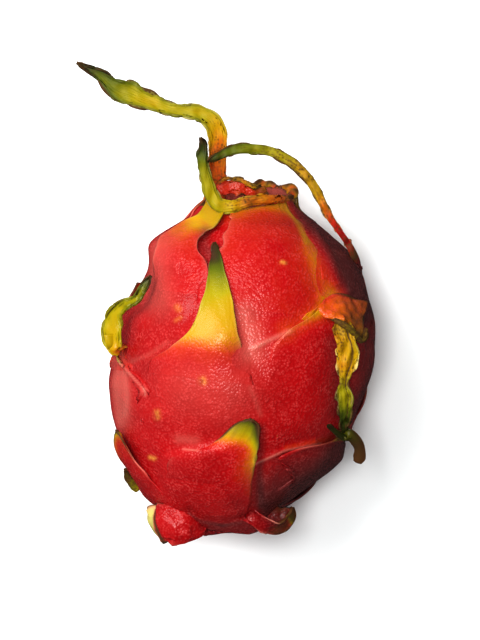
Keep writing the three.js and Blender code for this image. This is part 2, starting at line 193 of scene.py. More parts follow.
@dataclass(frozen=True)
class Scale:
    """One leaf-like scale of the peel. Left and right are as seen from above with the crown away.

    Attributes:
        name: What it is called.
        rows: Its rows from the root to the tip.
        lift: How far its tip stands off the skin.
        shoulder: The row where the body's swelling below the scale is greatest, if there is one.
        swell: Height of that swelling.
        reach: How far before the shoulder the swelling starts.
        settled: Share of the rows at which the whole lift is reached.
        flare: How far the margins rise, or with a value below 0 sink into the skin.
        left_flare: The same for the left margin, if it differs.
        freed: Share of the rows at which a sunk margin comes free.
        right_raised: How much more the right margin rises.
        thick: Thickness of the middle.
        bend: Degrees that each half of a row turns down where the scale is free of the skin.
        fold: Depth of a groove along it.
        cut: How pale the cut face at its end is.
        frill: How far the margins swing to and fro.
        wear: Fleshy or leafy.
        tone: Tone along the rows as pairs of share and tone. 0 is dark red, 0.3 bright red, 0.42
            orange, 0.55 yellow, 0.75 yellow green, 0.88 green and 1 brown green.
        left_tone: What the left margin adds to the tone.
        right_tone: What the right margin adds to the tone.
        dry: Dryness along the rows as pairs of share and dryness.
        dry_margin: What both margins add to the dryness.
        pale_margin: How pale the very edge is.
        wrinkle: Height of its wrinkles.
    """

    name: str
    rows: tuple[Row, ...]
    lift: float = 0.0
    shoulder: Optional[int] = None
    swell: float = 0.0
    reach: float = 20.0
    settled: float = 0.55
    flare: float = 0.0
    left_flare: Optional[float] = None
    freed: float = 0.78
    right_raised: float = 0.0
    thick: float = 1.4
    bend: float = 0.0
    fold: float = 0.0
    cut: float = 0.0
    frill: float = 0.15
    wear: Wear = Wear.FLESHY
    tone: Line = ((0.0, 0.25), (0.35, 0.28), (0.6, 0.45), (0.8, 0.7), (1.0, 0.95))
    left_tone: float = 0.04
    right_tone: float = 0.04
    dry: Line = ((0.0, 0.0), (0.8, 0.05), (1.0, 0.5))
    dry_margin: float = 0.45
    pale_margin: float = 0.35
    wrinkle: float = 0.0


VISIBLE_SCALES: tuple[Scale, ...] = (
    Scale(
        name="front_centre",
        rows=(
            on(-10, -40, 21), on(-10, -28, 21), on(-10.4, -19.5, 18.4), on(-6.9, -15.5, 13.4),
            on(-4.7, -11, 9.7), on(-3.3, -4, 6.6), on(-2.6, 3, 4.8), on(-2.9, 10, 3.1),
            on(-3.3, 16, 1.9), on(-3.7, 20.8, 0.5),
        ),
        shoulder=2, swell=3.2, reach=34, lift=2.2, settled=0.57, flare=-2.2, left_flare=0.4, freed=0.36,
        thick=1.6, frill=0.12,
        tone=(
            (0.0, 0.25), (0.22, 0.28), (0.32, 0.34), (0.38, 0.43), (0.46, 0.54), (0.56, 0.58),
            (0.66, 0.64), (0.75, 0.75), (0.86, 0.9), (1.0, 1.0),
        ),
        left_tone=0.02, right_tone=-0.03, dry=((0.0, 0.0), (0.88, 0.05), (1.0, 0.5)), dry_margin=0.15,
        pale_margin=0.3,
    ),
    Scale(
        name="lower_centre",
        rows=(
            on(-6, -74, 14), on(-6.5, -70, 15.6), on(-7, -64, 16.4), on(-6.6, -57, 16),
            on(-5, -51.5, 15.2), on(-2.2, -49, 12.6), on(1.5, -47, 9.2), on(3.6, -45.4, 7.2),
            on(4.9, -43.4, 5.9), on(6, -41.4, 4.9), on(7, -39.4, 3.7), on(7.8, -38.2, 2.3),
            on(8.5, -37.3, 0.5),
        ),
        shoulder=4, swell=3.0, reach=24, lift=2.4, settled=0.85, flare=0.5, left_flare=-1.7,
        right_raised=1.0, thick=1.6,
        tone=(
            (0.0, 0.2), (0.42, 0.24), (0.5, 0.32), (0.6, 0.47), (0.7, 0.62), (0.83, 0.76), (0.93, 0.9),
            (1.0, 1.0),
        ),
        left_tone=0.0, right_tone=0.36,
        dry=((0.0, 0.0), (0.5, 0.0), (0.66, 0.3), (0.9, 0.38), (1.0, 0.7)), pale_margin=0.3,
    ),
    Scale(
        name="upper_right",
        rows=(
            on(10, -14, 23), on(12.4, -2, 23), on(15, 10, 21.6), on(16.3, 20, 18), on(15.2, 26, 14.7),
            on(13.3, 30.2, 12.3, 7), on(11.8, 33, 10.7, 13),
        ),
        shoulder=4, swell=2.8, reach=40, lift=1.5, flare=-1.7, left_flare=0.5, freed=0.62, thick=1.6,
        tone=((0.0, 0.27), (0.6, 0.3), (0.85, 0.32), (1.0, 0.38)), left_tone=0.0, right_tone=0.08,
        dry=((0.0, 0.0), (0.9, 0.0), (1.0, 0.4)), dry_margin=0.0, pale_margin=0.3,
    ),
    Scale(
        name="upper_left",
        rows=(
            on(-14, -14, 16), on(-16.3, -3, 15), on(-17, 7, 12.6), on(-16.8, 12, 12),
            on(-16.4, 15.5, 10.8), on(-16.7, 19, 8.6), on(-15.4, 23, 7.6), on(-11, 26.3, 6.4, -12),
            on(-6.5, 28, 4.9, -20), on(-4, 31.5, 4.6, -8), on(-3, 35, 3.4, -8),
        ),
        shoulder=4, swell=2.6, reach=34, lift=2.4, settled=0.6, flare=1.2, thick=1.5,
        tone=(
            (0.0, 0.27), (0.5, 0.29), (0.6, 0.31), (0.67, 0.36), (0.74, 0.48), (0.81, 0.58),
            (1.0, 0.62),
        ),
        left_tone=0.02, right_tone=0.0, dry=((0.0, 0.0), (1.0, 0.0)), pale_margin=0.3,
    ),
    Scale(
        name="right_centre",
        rows=(
            on(36.5, -36, 25), on(37.5, -24, 27), on(38, -15, 26), on(38, -11, 22), on(37.6, -7.5, 16),
            on(37.2, -4, 10.5), on(37, 0, 6),
        ),
        shoulder=2, swell=2.4, reach=28, lift=1.2, flare=-1.6, left_flare=0.2, thick=1.3,
        tone=((0.0, 0.24), (0.6, 0.26), (0.85, 0.34), (1.0, 0.4)), left_tone=0.05, right_tone=0.0,
        dry=((0.0, 0.0), (1.0, 0.0)), dry_margin=0.1, pale_margin=0.15,
    ),
    Scale(
        name="right_centre_folded_tip",
        rows=(
            on(24.5, -6.2, 0.9), on(28.5, -3.0, 1.8), air(32.4, -1.6, 74.2, 2.9, -14),
            air(36, -0.8, 73.4, 4.9, -30), air(38.4, -0.8, 72.2, 6.0, -34),
            air(41.2, -2.1, 70.6, 5.8, -34), air(43.6, -4.1, 68.2, 6.5, -28),
            air(45.2, -5.4, 65.4, 6.4, -18), air(45.9, -5.6, 63.4, 5.9, -8),
        ),
        thick=1.0, bend=8, frill=0.3, settled=0.2, lift=1.4, wrinkle=0.36,
        tone=((0.0, 0.36), (0.3, 0.41), (0.6, 0.43), (0.75, 0.47), (0.9, 0.52), (1.0, 0.55)),
        left_tone=-0.05, right_tone=0.08,
        dry=((0.0, 0.0), (0.4, 0.24), (0.6, 0.46), (0.9, 0.5), (1.0, 0.9)), pale_margin=0.1,
    ),
    Scale(
        name="right_centre_curled_lip",
        rows=(
            air(34.6, -4.4, 74.6, 0.5), air(36.4, -5.2, 76.4, 1.0), air(38.8, -6.5, 76.4, 1.3),
            air(41.2, -8.3, 75, 1.2), air(43, -10.2, 73.2, 1.3), air(44.6, -11.6, 71, 1.2),
            air(45.9, -10.6, 69, 0.8), air(46.3, -7.6, 67.6, 0.6),
        ),
        thick=0.7, bend=70, frill=0.7, wear=Wear.LEAFY, tone=((0.0, 0.6), (0.5, 0.7), (1.0, 0.6)),
        dry=((0.0, 0.75), (0.5, 0.6), (1.0, 0.7)), pale_margin=0.9,
    ),
    Scale(
        name="left_under_tip",
        rows=(
            air(-28.8, -61.5, 36, 1.4), air(-30.8, -59.6, 38, 1.6), air(-32.6, -57, 40, 1.2),
            air(-33.6, -54.4, 42, 0.4),
        ),
        thick=0.9, bend=30, frill=0.8, wear=Wear.LEAFY, tone=((0.0, 0.6), (1.0, 0.95)),
        dry=((0.0, 0.4), (1.0, 0.7)),
    ),
    Scale(
        name="right_centre_dried_ribbon",
        rows=(
            air(38.4, -5.6, 71.4, 2.6), air(38.6, -8, 73.2, 3.3, 8), air(39.5, -10.6, 73.4, 2.8, -10),
            air(40.1, -13, 73, 3.3, 8), air(40.2, -16, 72, 4.1), air(39.8, -19.4, 71, 3.3, 10),
            air(39.2, -23, 70, 2.2, -10), air(38.9, -25.6, 69.4, 1.4, 10), air(38.7, -27.4, 69, 2.1),
            air(39.3, -30.5, 67.4, 2.8, 8), air(39.4, -34.4, 65, 2.3, -8), air(39.2, -38.4, 61.6, 1.5),
            air(39.1, -42.2, 57.6, 0.5),
        ),
        thick=0.7, bend=-22, fold=0.9, frill=0.7, wear=Wear.LEAFY, wrinkle=0.4,
        tone=(
            (0.0, 0.55), (0.25, 0.6), (0.45, 0.57), (0.56, 0.66), (0.66, 0.74), (0.8, 0.79),
            (0.9, 0.88), (1.0, 0.92),
        ),
        dry=((0.0, 0.5), (0.3, 0.32), (0.5, 0.32), (0.6, 0.5), (0.7, 0.15), (1.0, 0.3)),
        pale_margin=0.75,
    ),
    Scale(
        name="lower_right",
        rows=(
            on(29, -66, 17), on(32, -58, 22), on(35.5, -51.5, 25), on(37, -48, 20), on(38, -46.2, 12),
            on(38.6, -44.8, 5.5), air(40.6, -42.6, 58.5, 2.2), air(43.2, -45, 56.5, 2.1),
            air(44.4, -48.4, 53.5, 2.1), air(44.2, -50.8, 52, 2.4), air(43.6, -52.4, 51, 1.5),
        ),
        shoulder=2, swell=2.6, reach=20, lift=1.7, settled=0.17, flare=-0.8, left_flare=0.5, thick=1.8,
        bend=45,
        # The tone sinks in the middle of this panel: partly painted shade of the lower right side, partly
        # its darker red
        tone=(
            (0.0, 0.24), (0.14, 0.21), (0.3, 0.16), (0.45, 0.2), (0.54, 0.84), (0.75, 0.95),
            (1.0, 0.98),
        ),
        left_tone=0.14, dry=((0.0, 0.0), (0.5, 0.05), (0.6, 0.4), (0.75, 0.55), (1.0, 0.6)),
        pale_margin=0.2,
    ),
    Scale(
        name="lower_right_torn_strip",
        rows=(
            air(40, -44.4, 55, 1.2), air(37.6, -42.8, 59, 1.1), air(34.7, -40.5, 62.6, 0.9),
            air(31.2, -37.9, 66, 0.4),
        ),
        thick=1.0, bend=40, wear=Wear.LEAFY, tone=((0.0, 0.93), (1.0, 0.92)),
        dry=((0.0, 0.3), (1.0, 0.2)),
    ),
    Scale(
        name="left_centre",
        rows=(
            around(-80, 33, 24), around(-80, 43, 27), around(-79, 49, 19), around(-75, 53.5, 7.5),
            around(-69, 57, 2.8), air(-36.8, -14.8, 61.0, 2.2, -22), air(-37.8, -11.2, 61.2, 3.6, -26),
            air(-37.6, -6.5, 62.2, 3.8, -25), air(-36.2, -2.3, 63.8, 2.1, -10),
            air(-33.2, 0.4, 66, 1.5), air(-29.3, 2.4, 68.2, 1.2), air(-27.5, 5.4, 68.8, 1.3),
            air(-24.7, 9.8, 68.6, 0.4),
        ),
        shoulder=1, swell=2.4, reach=26, lift=1.4, flare=-2.6, left_flare=1.0, freed=0.4, thick=1.2,
        bend=15, frill=0.6, wrinkle=0.28,
        tone=(
            (0.0, 0.26), (0.25, 0.3), (0.34, 0.4), (0.42, 0.55), (0.5, 0.63), (0.66, 0.66), (0.8, 0.71),
            (0.92, 0.8), (1.0, 0.98),
        ),
        left_tone=0.12, right_tone=0.1,
        dry=((0.0, 0.0), (0.4, 0.1), (0.55, 0.25), (0.8, 0.2), (1.0, 0.4)), dry_margin=0.2,
        pale_margin=0.15,
    ),
    Scale(
        name="left_centre_tail",
        rows=(
            air(-37.8, -9.5, 62.2, 2.4, -20), air(-37.5, -12.8, 61.6, 2.1, -20), on(-36.6, -15.4, 1.2),
            on(-35.6, -17.4, 0.7), on(-34.6, -19, 0.4), on(-33.8, -20.2, 0.2),
        ),
        thick=0.6, bend=20, frill=0.5, lift=0.5, settled=0.3, wrinkle=0.1,
        tone=((0.0, 0.64), (0.4, 0.6), (0.6, 0.5), (0.8, 0.4), (1.0, 0.3)), left_tone=0.06,
        right_tone=0.1, dry=((0.0, 0.2), (0.5, 0.2), (1.0, 0.0)), dry_margin=0.2, pale_margin=0.5,
    ),
    Scale(
        name="lower_left",
        rows=(
            around(-74, 5, 11.5), around(-74, 11, 12.5), around(-73.5, 16.5, 11), around(-72.5, 21, 8),
            around(-70.5, 25.2, 4.6), around(-68.5, 28, 2), around(-68, 29.4, 0.5),
        ),
        shoulder=1, swell=1.8, reach=14, lift=2.6, flare=0.6, thick=1.2, frill=0.15,
        tone=((0.0, 0.25), (0.4, 0.27), (0.65, 0.33), (0.8, 0.5), (0.92, 0.8), (1.0, 0.98)),
        left_tone=0.16, right_tone=0.04, dry=((0.0, 0.0), (0.6, 0.15), (0.8, 0.3), (1.0, 0.6)),
    ),
    Scale(
        name="neck_right",
        rows=(
            around(60, 78, 15), around(59, 89, 13.5), around(56, 98, 10.5), around(53, 105, 7),
            around(50, 110.5, 4.4), around(50, 112.8, 2.4),
        ),
        shoulder=1, swell=1.6, reach=20, lift=1.6, flare=0.3, left_flare=-1.6, freed=1.0, thick=1.5,
        # A darker tone than the front: partly painted shade of the right side, partly its darker red
        tone=((0.0, 0.22), (0.4, 0.2), (0.7, 0.16), (1.0, 0.2)), left_tone=0.0, right_tone=0.0,
        dry=((0.0, 0.0), (0.8, 0.1), (1.0, 0.7)), dry_margin=0.1, pale_margin=0.0,
    ),
    Scale(
        name="right_side_arching_over_the_crown",
        rows=(
            around(98, 54, 20), around(97, 66, 17), around(94, 76, 10.5), around(90, 84, 5.4),
            around(88, 90, 3.2), air(43, 15.8, 51.5, 1.5, 20), air(40.6, 20.4, 54, 1.2),
            air(37, 25.4, 56.4, 1.1), air(34, 29.9, 58, 1.3), air(31.3, 35.2, 59.2, 1.6),
            air(29.2, 39.2, 60, 1.8), air(25.7, 43.8, 61, 1.7), air(21.2, 47.7, 62, 1.9),
            air(15, 50.7, 63, 1.8), air(9, 51.7, 64, 1.9), air(4, 51.6, 65, 1.8),
            air(-0.3, 50.2, 66, 1.5), air(-3.3, 48.8, 67, 1), air(-6, 47.5, 68, 0.4),
        ),
        shoulder=1, swell=2.2, reach=26, lift=2.2, flare=0.8, thick=1.4, bend=40, frill=0.3,
        tone=(
            (0.0, 0.24), (0.2, 0.2), (0.28, 0.12), (0.34, 0.16), (0.41, 0.34), (0.47, 0.45),
            (0.56, 0.54), (0.66, 0.62), (0.76, 0.72), (0.9, 0.86), (1.0, 0.97),
        ),
        dry=(
            (0.0, 0.0), (0.24, 0.0), (0.28, 0.7), (0.34, 0.35), (0.5, 0.42), (0.65, 0.48), (0.8, 0.25),
            (1.0, 0.4),
        ),
        left_tone=0.08, right_tone=0.08, wrinkle=0.3, wear=Wear.LEAFY,
    ),
    Scale(
        name="crown_longest",
        rows=(
            air(-3.2, 29, 43, 3.4, -20), air(-2.8, 38, 46, 3.2, -20), air(-2.7, 45, 49.5, 2.8, -10),
            air(-2.8, 51.5, 52.5, 2.9), air(-2.7, 56.5, 54.5, 2.9), air(-4.2, 60.6, 56, 2.9),
            air(-8.6, 63.5, 57, 2.7), air(-13, 64.3, 57.5, 2.3), air(-18.3, 65, 58, 2.3, 10),
            air(-23.7, 66.8, 58.5, 2.9, 15), air(-27.7, 68.3, 59, 3.2, 15),
            air(-31.7, 69.9, 59.5, 4.1, 10), air(-35, 71, 60, 3.9), air(-37.7, 72.9, 60.5, 2.9),
            air(-40.7, 75.6, 61, 2.1), air(-44.7, 77.8, 61.5, 1.3), air(-49.3, 80.2, 62, 0.4),
        ),
        thick=1.1, bend=-25, frill=0.6, dry_margin=0.7, wear=Wear.LEAFY,
        tone=(
            (0.0, 0.4), (0.14, 0.44), (0.26, 0.52), (0.36, 0.6), (0.5, 0.68), (0.75, 0.71),
            (0.86, 0.78), (0.94, 0.87), (1.0, 1.0),
        ),
        left_tone=0.16, right_tone=0.14, wrinkle=0.15,
        dry=((0.0, 0.5), (0.2, 0.35), (0.3, 0.2), (0.4, 0.05), (0.8, 0.05), (1.0, 0.4)),
    ),
    Scale(
        name="crown_front_finger",
        rows=(
            air(22.5, 34.6, 44, 0.8), air(18.6, 35.2, 54.2, 1.6), air(14.3, 35.2, 57.6, 1.9),
            air(9.6, 34.8, 59.6, 2), air(5.7, 33.8, 61, 2.2), air(1.4, 32.7, 62, 2.6),
            air(-2.5, 33.2, 62.6, 2.9), air(-4.9, 36.6, 63.4, 2.8), air(-6, 40.5, 64.4, 2.4),
            air(-7.2, 44.5, 65.4, 2.2), air(-7.8, 48.5, 66.4, 2.1), air(-7.5, 51.8, 67, 2),
            air(-8.4, 55.4, 67.4, 0.5),
        ),
        thick=2.0, bend=60, frill=0.6, wear=Wear.LEAFY, wrinkle=0.3,
        tone=(
            (0.0, 0.44), (0.3, 0.5), (0.38, 0.62), (0.5, 0.71), (0.65, 0.77), (0.85, 0.85),
            (0.95, 0.92), (1.0, 1.0),
        ),
        left_tone=0.08, right_tone=0.08,
        dry=((0.0, 0.5), (0.12, 0.3), (0.3, 0.5), (0.42, 0.3), (0.52, 0.0), (0.85, 0.1), (1.0, 0.5)),
    ),
    Scale(
        name="crown_torn_flesh",
        rows=(
            air(-2.6, 38.2, 49, 1.2), air(0.4, 39.2, 50.5, 2.1), air(3.4, 39.8, 51, 2.4),
            air(6.2, 38.8, 51, 2.1), air(8.4, 37.4, 50, 1.5), air(10.5, 37.6, 49, 1.6),
            air(13.6, 38.6, 48.4, 1.2),
        ),
        thick=1.6, bend=12, frill=1.0, wrinkle=0.28, tone=((0.0, 0.38), (0.6, 0.36), (1.0, 0.45)),
        left_tone=0.1, dry=((0.0, 0.3), (0.6, 0.2), (1.0, 0.5)), dry_margin=0.9, pale_margin=0.1,
    ),
    Scale(
        name="crown_torn_rim",
        rows=(
            air(-2.6, 40.6, 51.4, 0.4), air(-0.1, 42.2, 52.4, 0.7), air(2.4, 42, 52.8, 0.6),
            air(4.9, 41.6, 52.8, 0.8), air(7.4, 40.2, 52.4, 0.6), air(9.2, 39.4, 51.8, 0.7),
            air(11.6, 39.8, 51, 0.4),
        ),
        thick=0.8, bend=50, frill=1.0, wrinkle=0.2, wear=Wear.LEAFY, tone=((0.0, 0.5), (1.0, 0.54)),
        dry=((0.0, 0.45), (0.4, 0.6), (0.6, 0.35), (1.0, 0.5)),
    ),
    Scale(
        name="crown_left",
        rows=(
            around(-82, 88, 13), around(-84, 96, 11), around(-88, 103, 7.5), around(-92, 109, 4.8),
            around(-96, 114, 2.6), around(-98, 118, 0.6),
        ),
        shoulder=1, swell=0.5, reach=18, lift=0.6, flare=0.4, thick=1.4,
    ),
    Scale(
        name="left_back",
        rows=(
            around(-113, 50, 19), around(-112, 60, 18), around(-110, 66, 12), around(-107, 71, 8),
            around(-104, 76, 5), around(-102, 79, 2.6),
        ),
        shoulder=1, swell=2.2, reach=24, lift=1.2, flare=0.5, thick=1.3,
        tone=((0.0, 0.18), (0.7, 0.14), (0.9, 0.2), (1.0, 0.3)), pale_margin=0.8,
    ),
    Scale(
        name="stem_end_right_curled",
        rows=(
            air(3, -67, 53, 3.2, 0), air(8.5, -69.8, 56.6, 2.6, 14), air(13.2, -72.4, 55.4, 2.9, 36),
            air(17.2, -73.4, 53, 3.5, 54), air(20, -71.8, 51.6, 3.1, 60), air(21.8, -69.4, 51, 2.1, 64),
            air(22.3, -67, 51, 0.8, 70),
        ),
        thick=1.1, bend=-40, frill=0.4, wrinkle=0.14,
        # The dip in tone and the rise in dryness at the middle darken the inside of the curl: painted shade,
        # over the scale's own dark red and dry brown
        tone=((0.0, 0.18), (0.3, 0.14), (0.5, 0.06), (0.66, 0.15), (0.76, 0.8), (1.0, 0.95)),
        dry=((0.0, 0.0), (0.35, 0.2), (0.5, 0.5), (0.75, 0.5), (1.0, 0.7)), pale_margin=0.7,
    ),
    Scale(
        name="stem_end_right_hollow",
        rows=(
            air(11, -68.6, 49, 2.2), air(15, -69.6, 49.4, 2.8), air(18.6, -69.6, 48.6, 2.6),
            air(21, -68.4, 48, 1.9), air(22.2, -67.2, 48, 0.6),
        ),
        # A dark plate under stem_end_right_curled, darkest at its end: painted shade of the hollow inside
        # the curl
        thick=0.8, bend=-25, frill=0.4, wrinkle=0.2, tone=((0.0, 0.08), (0.6, 0.03), (1.0, 0.0)),
        left_tone=0.0, right_tone=0.0, dry=((0.0, 0.3), (0.5, 0.4), (1.0, 0.5)), pale_margin=0.0,
    ),
    Scale(
        name="stem_end_left_cut_lobe",
        rows=(
            air(-7.4, -71.6, 52.6, 3.2), air(-9.3, -73, 54.6, 4.4), air(-12, -73, 56.6, 6.8),
            air(-15.5, -72.4, 57.2, 7.8), air(-19, -72.2, 56.6, 7.6), air(-21.8, -72.6, 55.2, 7.3),
            air(-23.2, -73, 53, 7.1), air(-24.4, -73.2, 49.8, 6.8), air(-25.2, -73.6, 46.4, 6),
        ),
        thick=7, bend=40, frill=0.3, cut=0.95, wrinkle=0.26,
        tone=((0.0, 0.18), (0.2, 0.24), (0.78, 0.27), (0.84, 0.6), (1.0, 0.6)), left_tone=0.0,
        right_tone=-0.1, dry=((0.0, 0.0), (0.68, 0.0), (0.77, 0.75), (0.85, 0.2), (1.0, 0.1)),
    ),
    Scale(
        name="stem_end_underside",
        rows=(
            air(-13, -74.4, 46, 2.4, 46), air(-7, -74.9, 48.5, 3.4, 46), air(0, -73.9, 50, 3.4, 46),
            air(7, -72.9, 50.4, 3.2, 46), air(12.5, -71.4, 50, 2.2, 46),
        ),
        # A low tone, as the piece lies under lower_centre's base edge: partly painted shade there, partly
        # the dark red of the wrinkled stem end
        thick=1.6, bend=30, frill=0.3, wrinkle=0.75, tone=((0.0, 0.14), (0.5, 0.1), (1.0, 0.1)),
        left_tone=0.0, right_tone=-0.05, dry=((0.0, 0.1), (0.5, 0.2), (1.0, 0.1)), dry_margin=0.2,
        pale_margin=0.0,
    ),
)


@dataclass(frozen=True)
class Tier:
    """A ring of like scales on the side that the table hides.

    Azimuths and the lean are in degrees. The reach is that of the swelling below each scale.
    """

    along: float
    azimuths: tuple[float, ...]
    half: float
    length: float
    reach: float
    lift: float
    lean: float


BACK_TIERS = (
    Tier(along=11, azimuths=(112, 158, -122), half=15, length=17, reach=12, lift=1.8, lean=2),
    Tier(along=44, azimuths=(118, 170, -136), half=23, length=25, reach=26, lift=2.2, lean=4),
    Tier(along=77, azimuths=(144, -164), half=20, length=24, reach=24, lift=2.6, lean=-5),
    Tier(along=99, azimuths=(128, 174, -134), half=10, length=17, reach=14, lift=3.5, lean=3),
)
BACK_OUTLINE = (
    (-0.5, 0.92), (-0.12, 1.0), (0.08, 0.72), (0.25, 0.46),
    (0.48, 0.28), (0.72, 0.16), (0.9, 0.08), (1.0, 0.03),
)
BACK_SEED = 7
BACK_LENGTH_SPREAD = 0.25
BACK_LEAN_SPREAD = 14
BACK_CURVE = 1.5
BACK_LEAST_HALF = 0.5


class SteadyDraw:
    """Repeatable numbers between -0.5 and 0.5, the same that place the scales of the solid."""

    FACTOR = 16807
    MODULUS = 2147483647

    def __init__(self, seed: int) -> None:
        """Starts the draw.

        Args:
            seed: Where the draw starts.
        """
        self.state = seed

    def __call__(self) -> float:
        """The next number."""
        self.state = (self.state * self.FACTOR) % self.MODULUS
        return self.state / self.MODULUS - 0.5


def back_scale(tier: Tier, azimuth: float, length: float, lean: float) -> Scale:
    """One scale of a tier.

    Args:
        tier: The tier.
        azimuth: Where its root is, in degrees.
        length: Its length beyond its widest row.
        lean: How far round its tip leans, in degrees.

    Returns:
        The scale.
    """
    rows = []
    for up, wide in BACK_OUTLINE:
        turned_to = azimuth + lean * max(0.0, up) ** BACK_CURVE
        rows.append(around(turned_to, tier.along + length * up, max(BACK_LEAST_HALF, tier.half * wide)))
    return Scale(
        name=f"back_{tier.along:.0f}_{azimuth % 360:.0f}", rows=tuple(rows), shoulder=1, swell=2.2,
        reach=tier.reach, lift=tier.lift, flare=0.6, thick=1.2,
    )


def back_scales() -> list[Scale]:
    """The scales of the hidden side, placed in tiers by one rule.

    Returns:
        The scales, from the stem end to the crown.
    """
    draw = SteadyDraw(BACK_SEED)
    scales = []
    for tier in BACK_TIERS:
        for azimuth in tier.azimuths:
            length = tier.length * (1 + BACK_LENGTH_SPREAD * draw())
            lean = tier.lean + BACK_LEAN_SPREAD * draw()
            scales.append(back_scale(tier, azimuth, length, lean))
    return scales


@dataclass(frozen=True)
class Unevenness:
    """A broad rise or hollow of the body, as it grew, with its place and spread round it in degrees."""

    azimuth: float
    along: float
    spread_around: float
    spread_along: float
    height: float


@dataclass(frozen=True)
class Swelling:
    """The rise of the skin below one scale, which narrows with the scale."""

    along: np.ndarray
    azimuth: np.ndarray
    half: np.ndarray
    crest: float
    tip: float
    swell: float
    reach: float


@dataclass
class BodyForm:
    """The fleshy body: a round of an axis that lies level and leans a little to +X."""

    greatest_radius: float = 42.4
    widest_along: float = 60.0
    stem_reach: float = 62.0
    crown_reach: float = 51.0
    neck_radius: float = 14.5
    neck_blend: float = 6.0
    height_share: float = 0.96
    rim_along_middle: float = 111.5
    rim_slant: float = 5.0
    rim_slant_azimuth: float = -35.0
    axis_lean: float = 6.8
    pole_share: float = 0.9995
    stem_x: float = -2.7
    stem_y: float = -75.0
    axis_height: float = 41.0
    neck_shift: float = -2.5
    neck_from: float = 96
    neck_to: float = 112
    lump_height: float = 0.28
    stem_smooth: float = 9
    rim_smooth: float = 7
    swelling_spread: float = 1.12
    swelling_power: float = 1.3
    swelling_start: float = 0.1
    swelling_end: float = 0.8
    creased_facing: tuple[float, float] = (-0.1, 0.2)
    uneven: tuple[Unevenness, ...] = (
        Unevenness(azimuth=-90, along=80, spread_around=42, spread_along=13, height=-4.4),
        Unevenness(azimuth=-90, along=46, spread_around=42, spread_along=18, height=-1.6),
        Unevenness(azimuth=90, along=91, spread_around=50, spread_along=21, height=3.2),
        Unevenness(azimuth=85, along=9, spread_around=55, spread_along=15, height=-5.2),
        Unevenness(azimuth=-85, along=92, spread_around=38, spread_along=6, height=2.0),
        Unevenness(azimuth=-85, along=104, spread_around=40, spread_along=6, height=-2.4),
        Unevenness(azimuth=72, along=24, spread_around=40, spread_along=11, height=-2.0),
    )

    def __post_init__(self) -> None:
        """Works out what every later call needs."""
        self.lean_sin = math.sin(math.radians(self.axis_lean))
        self.lean_cos = math.cos(math.radians(self.axis_lean))
        self.swellings: list[Swelling] = []
        self.lumps = Ripple(seed=3, wavelength=17)

    def shift(self, along: np.ndarray) -> np.ndarray:
        """How far the body stands to one side of the axis."""
        return self.neck_shift * ease(self.neck_from, self.neck_to, along)

    def place(self, across: np.ndarray, along: np.ndarray, up: np.ndarray) -> Points:
        """A place in the fruit's own frame as a point above the table.

        Args:
            across: Distance to +X from the axis.
            along: Distance from the stem end.
            up: Height above the axis.

        Returns:
            Points with the arguments' shape and a last dimension of 3.
        """
        shifted = across + self.shift(along)
        x = self.stem_x + shifted * self.lean_cos + along * self.lean_sin
        y = self.stem_y - shifted * self.lean_sin + along * self.lean_cos
        return np.stack(np.broadcast_arrays(x, y, self.axis_height + up), -1).astype(float)

    def unplace(self, points: Points) -> tuple[np.ndarray, np.ndarray, np.ndarray]:
        """The distance across and along and the azimuth of points.

        Args:
            points: Points above the table.

        Returns:
            Across and along in millimetres, azimuth in radians.
        """
        dx = points[..., 0] - self.stem_x
        dy = points[..., 1] - self.stem_y
        along = dx * self.lean_sin + dy * self.lean_cos
        across = dx * self.lean_cos - dy * self.lean_sin - self.shift(along)
        up = (points[..., 2] - self.axis_height) / self.height_share
        return across, along, np.arctan2(across, up)

    def direction(self, across: np.ndarray, up: np.ndarray) -> Points:
        """A direction square to the axis."""
        return np.stack([across * self.lean_cos, -across * self.lean_sin, up], -1)

    def plain_radius(self, along: np.ndarray) -> np.ndarray:
        """Radius before the swellings under the scales.

        Args:
            along: Distance along of each place.

        Returns:
            The radius at each place.
        """
        along = np.asarray(along, float)
        reach = np.where(along < self.widest_along, self.stem_reach, self.crown_reach)
        share = np.clip((along - self.widest_along) / reach, -self.pole_share, self.pole_share)
        body = self.greatest_radius * np.sqrt(1 - share * share)
        neck = np.where(along > self.widest_along, self.neck_radius, 0.0)
        return (body**self.neck_blend + neck**self.neck_blend) ** (1 / self.neck_blend)

    def rim_along(self, azimuth: np.ndarray) -> np.ndarray:
        """Where the crown's rim is at an azimuth."""
        away = azimuth - math.radians(self.rim_slant_azimuth)
        return self.rim_along_middle - self.rim_slant * np.cos(away)

    def spot(self, row: Row) -> tuple[float, float]:
        """Where a row lies on the plain body.

        Args:
            row: A row that lies on the skin.

        Returns:
            Azimuth in radians and distance along.
        """
        if row.azimuth is not None:
            return math.radians(row.azimuth), row.along
        across, along, _ = self.unplace(np.array([row.x, row.y, self.axis_height]))
        share = np.clip(across / self.plain_radius(along), -0.99, 0.99)
        return float(np.arcsin(share)), float(along)

    def settle(self, row: Row, rise: float) -> tuple[float, float]:
        """Where a row touches the raised skin, so that it is seen at its x and y from above.

        Args:
            row: A row that lies on the skin.
            rise: How far above the skin it stands.

        Returns:
            Azimuth in radians and distance along.
        """
        azimuth, along = self.spot(row)
        if row.azimuth is None:
            across, _, _ = self.unplace(np.array([row.x, row.y, self.axis_height]))
            for _ in range(5):
                radius = self.plain_radius(along) + self.relief(np.array(azimuth), np.array(along)) + rise
                azimuth = float(np.arcsin(np.clip(across / radius, -0.995, 0.995)))
        return azimuth, along

    def raise_under(self, scale: Scale) -> None:
        """Adds the swelling below a scale.

        Args:
            scale: A scale with a shoulder.
        """
        rows = [row for row in scale.rows if row.z is None]
        spots = np.array([self.spot(row) for row in rows])
        self.swellings.append(
            Swelling(
                along=spots[:, 1], azimuth=spots[:, 0], half=np.array([row.half for row in rows]),
                crest=spots[scale.shoulder, 1], tip=spots[-1, 1], swell=scale.swell, reach=scale.reach,
            )
        )

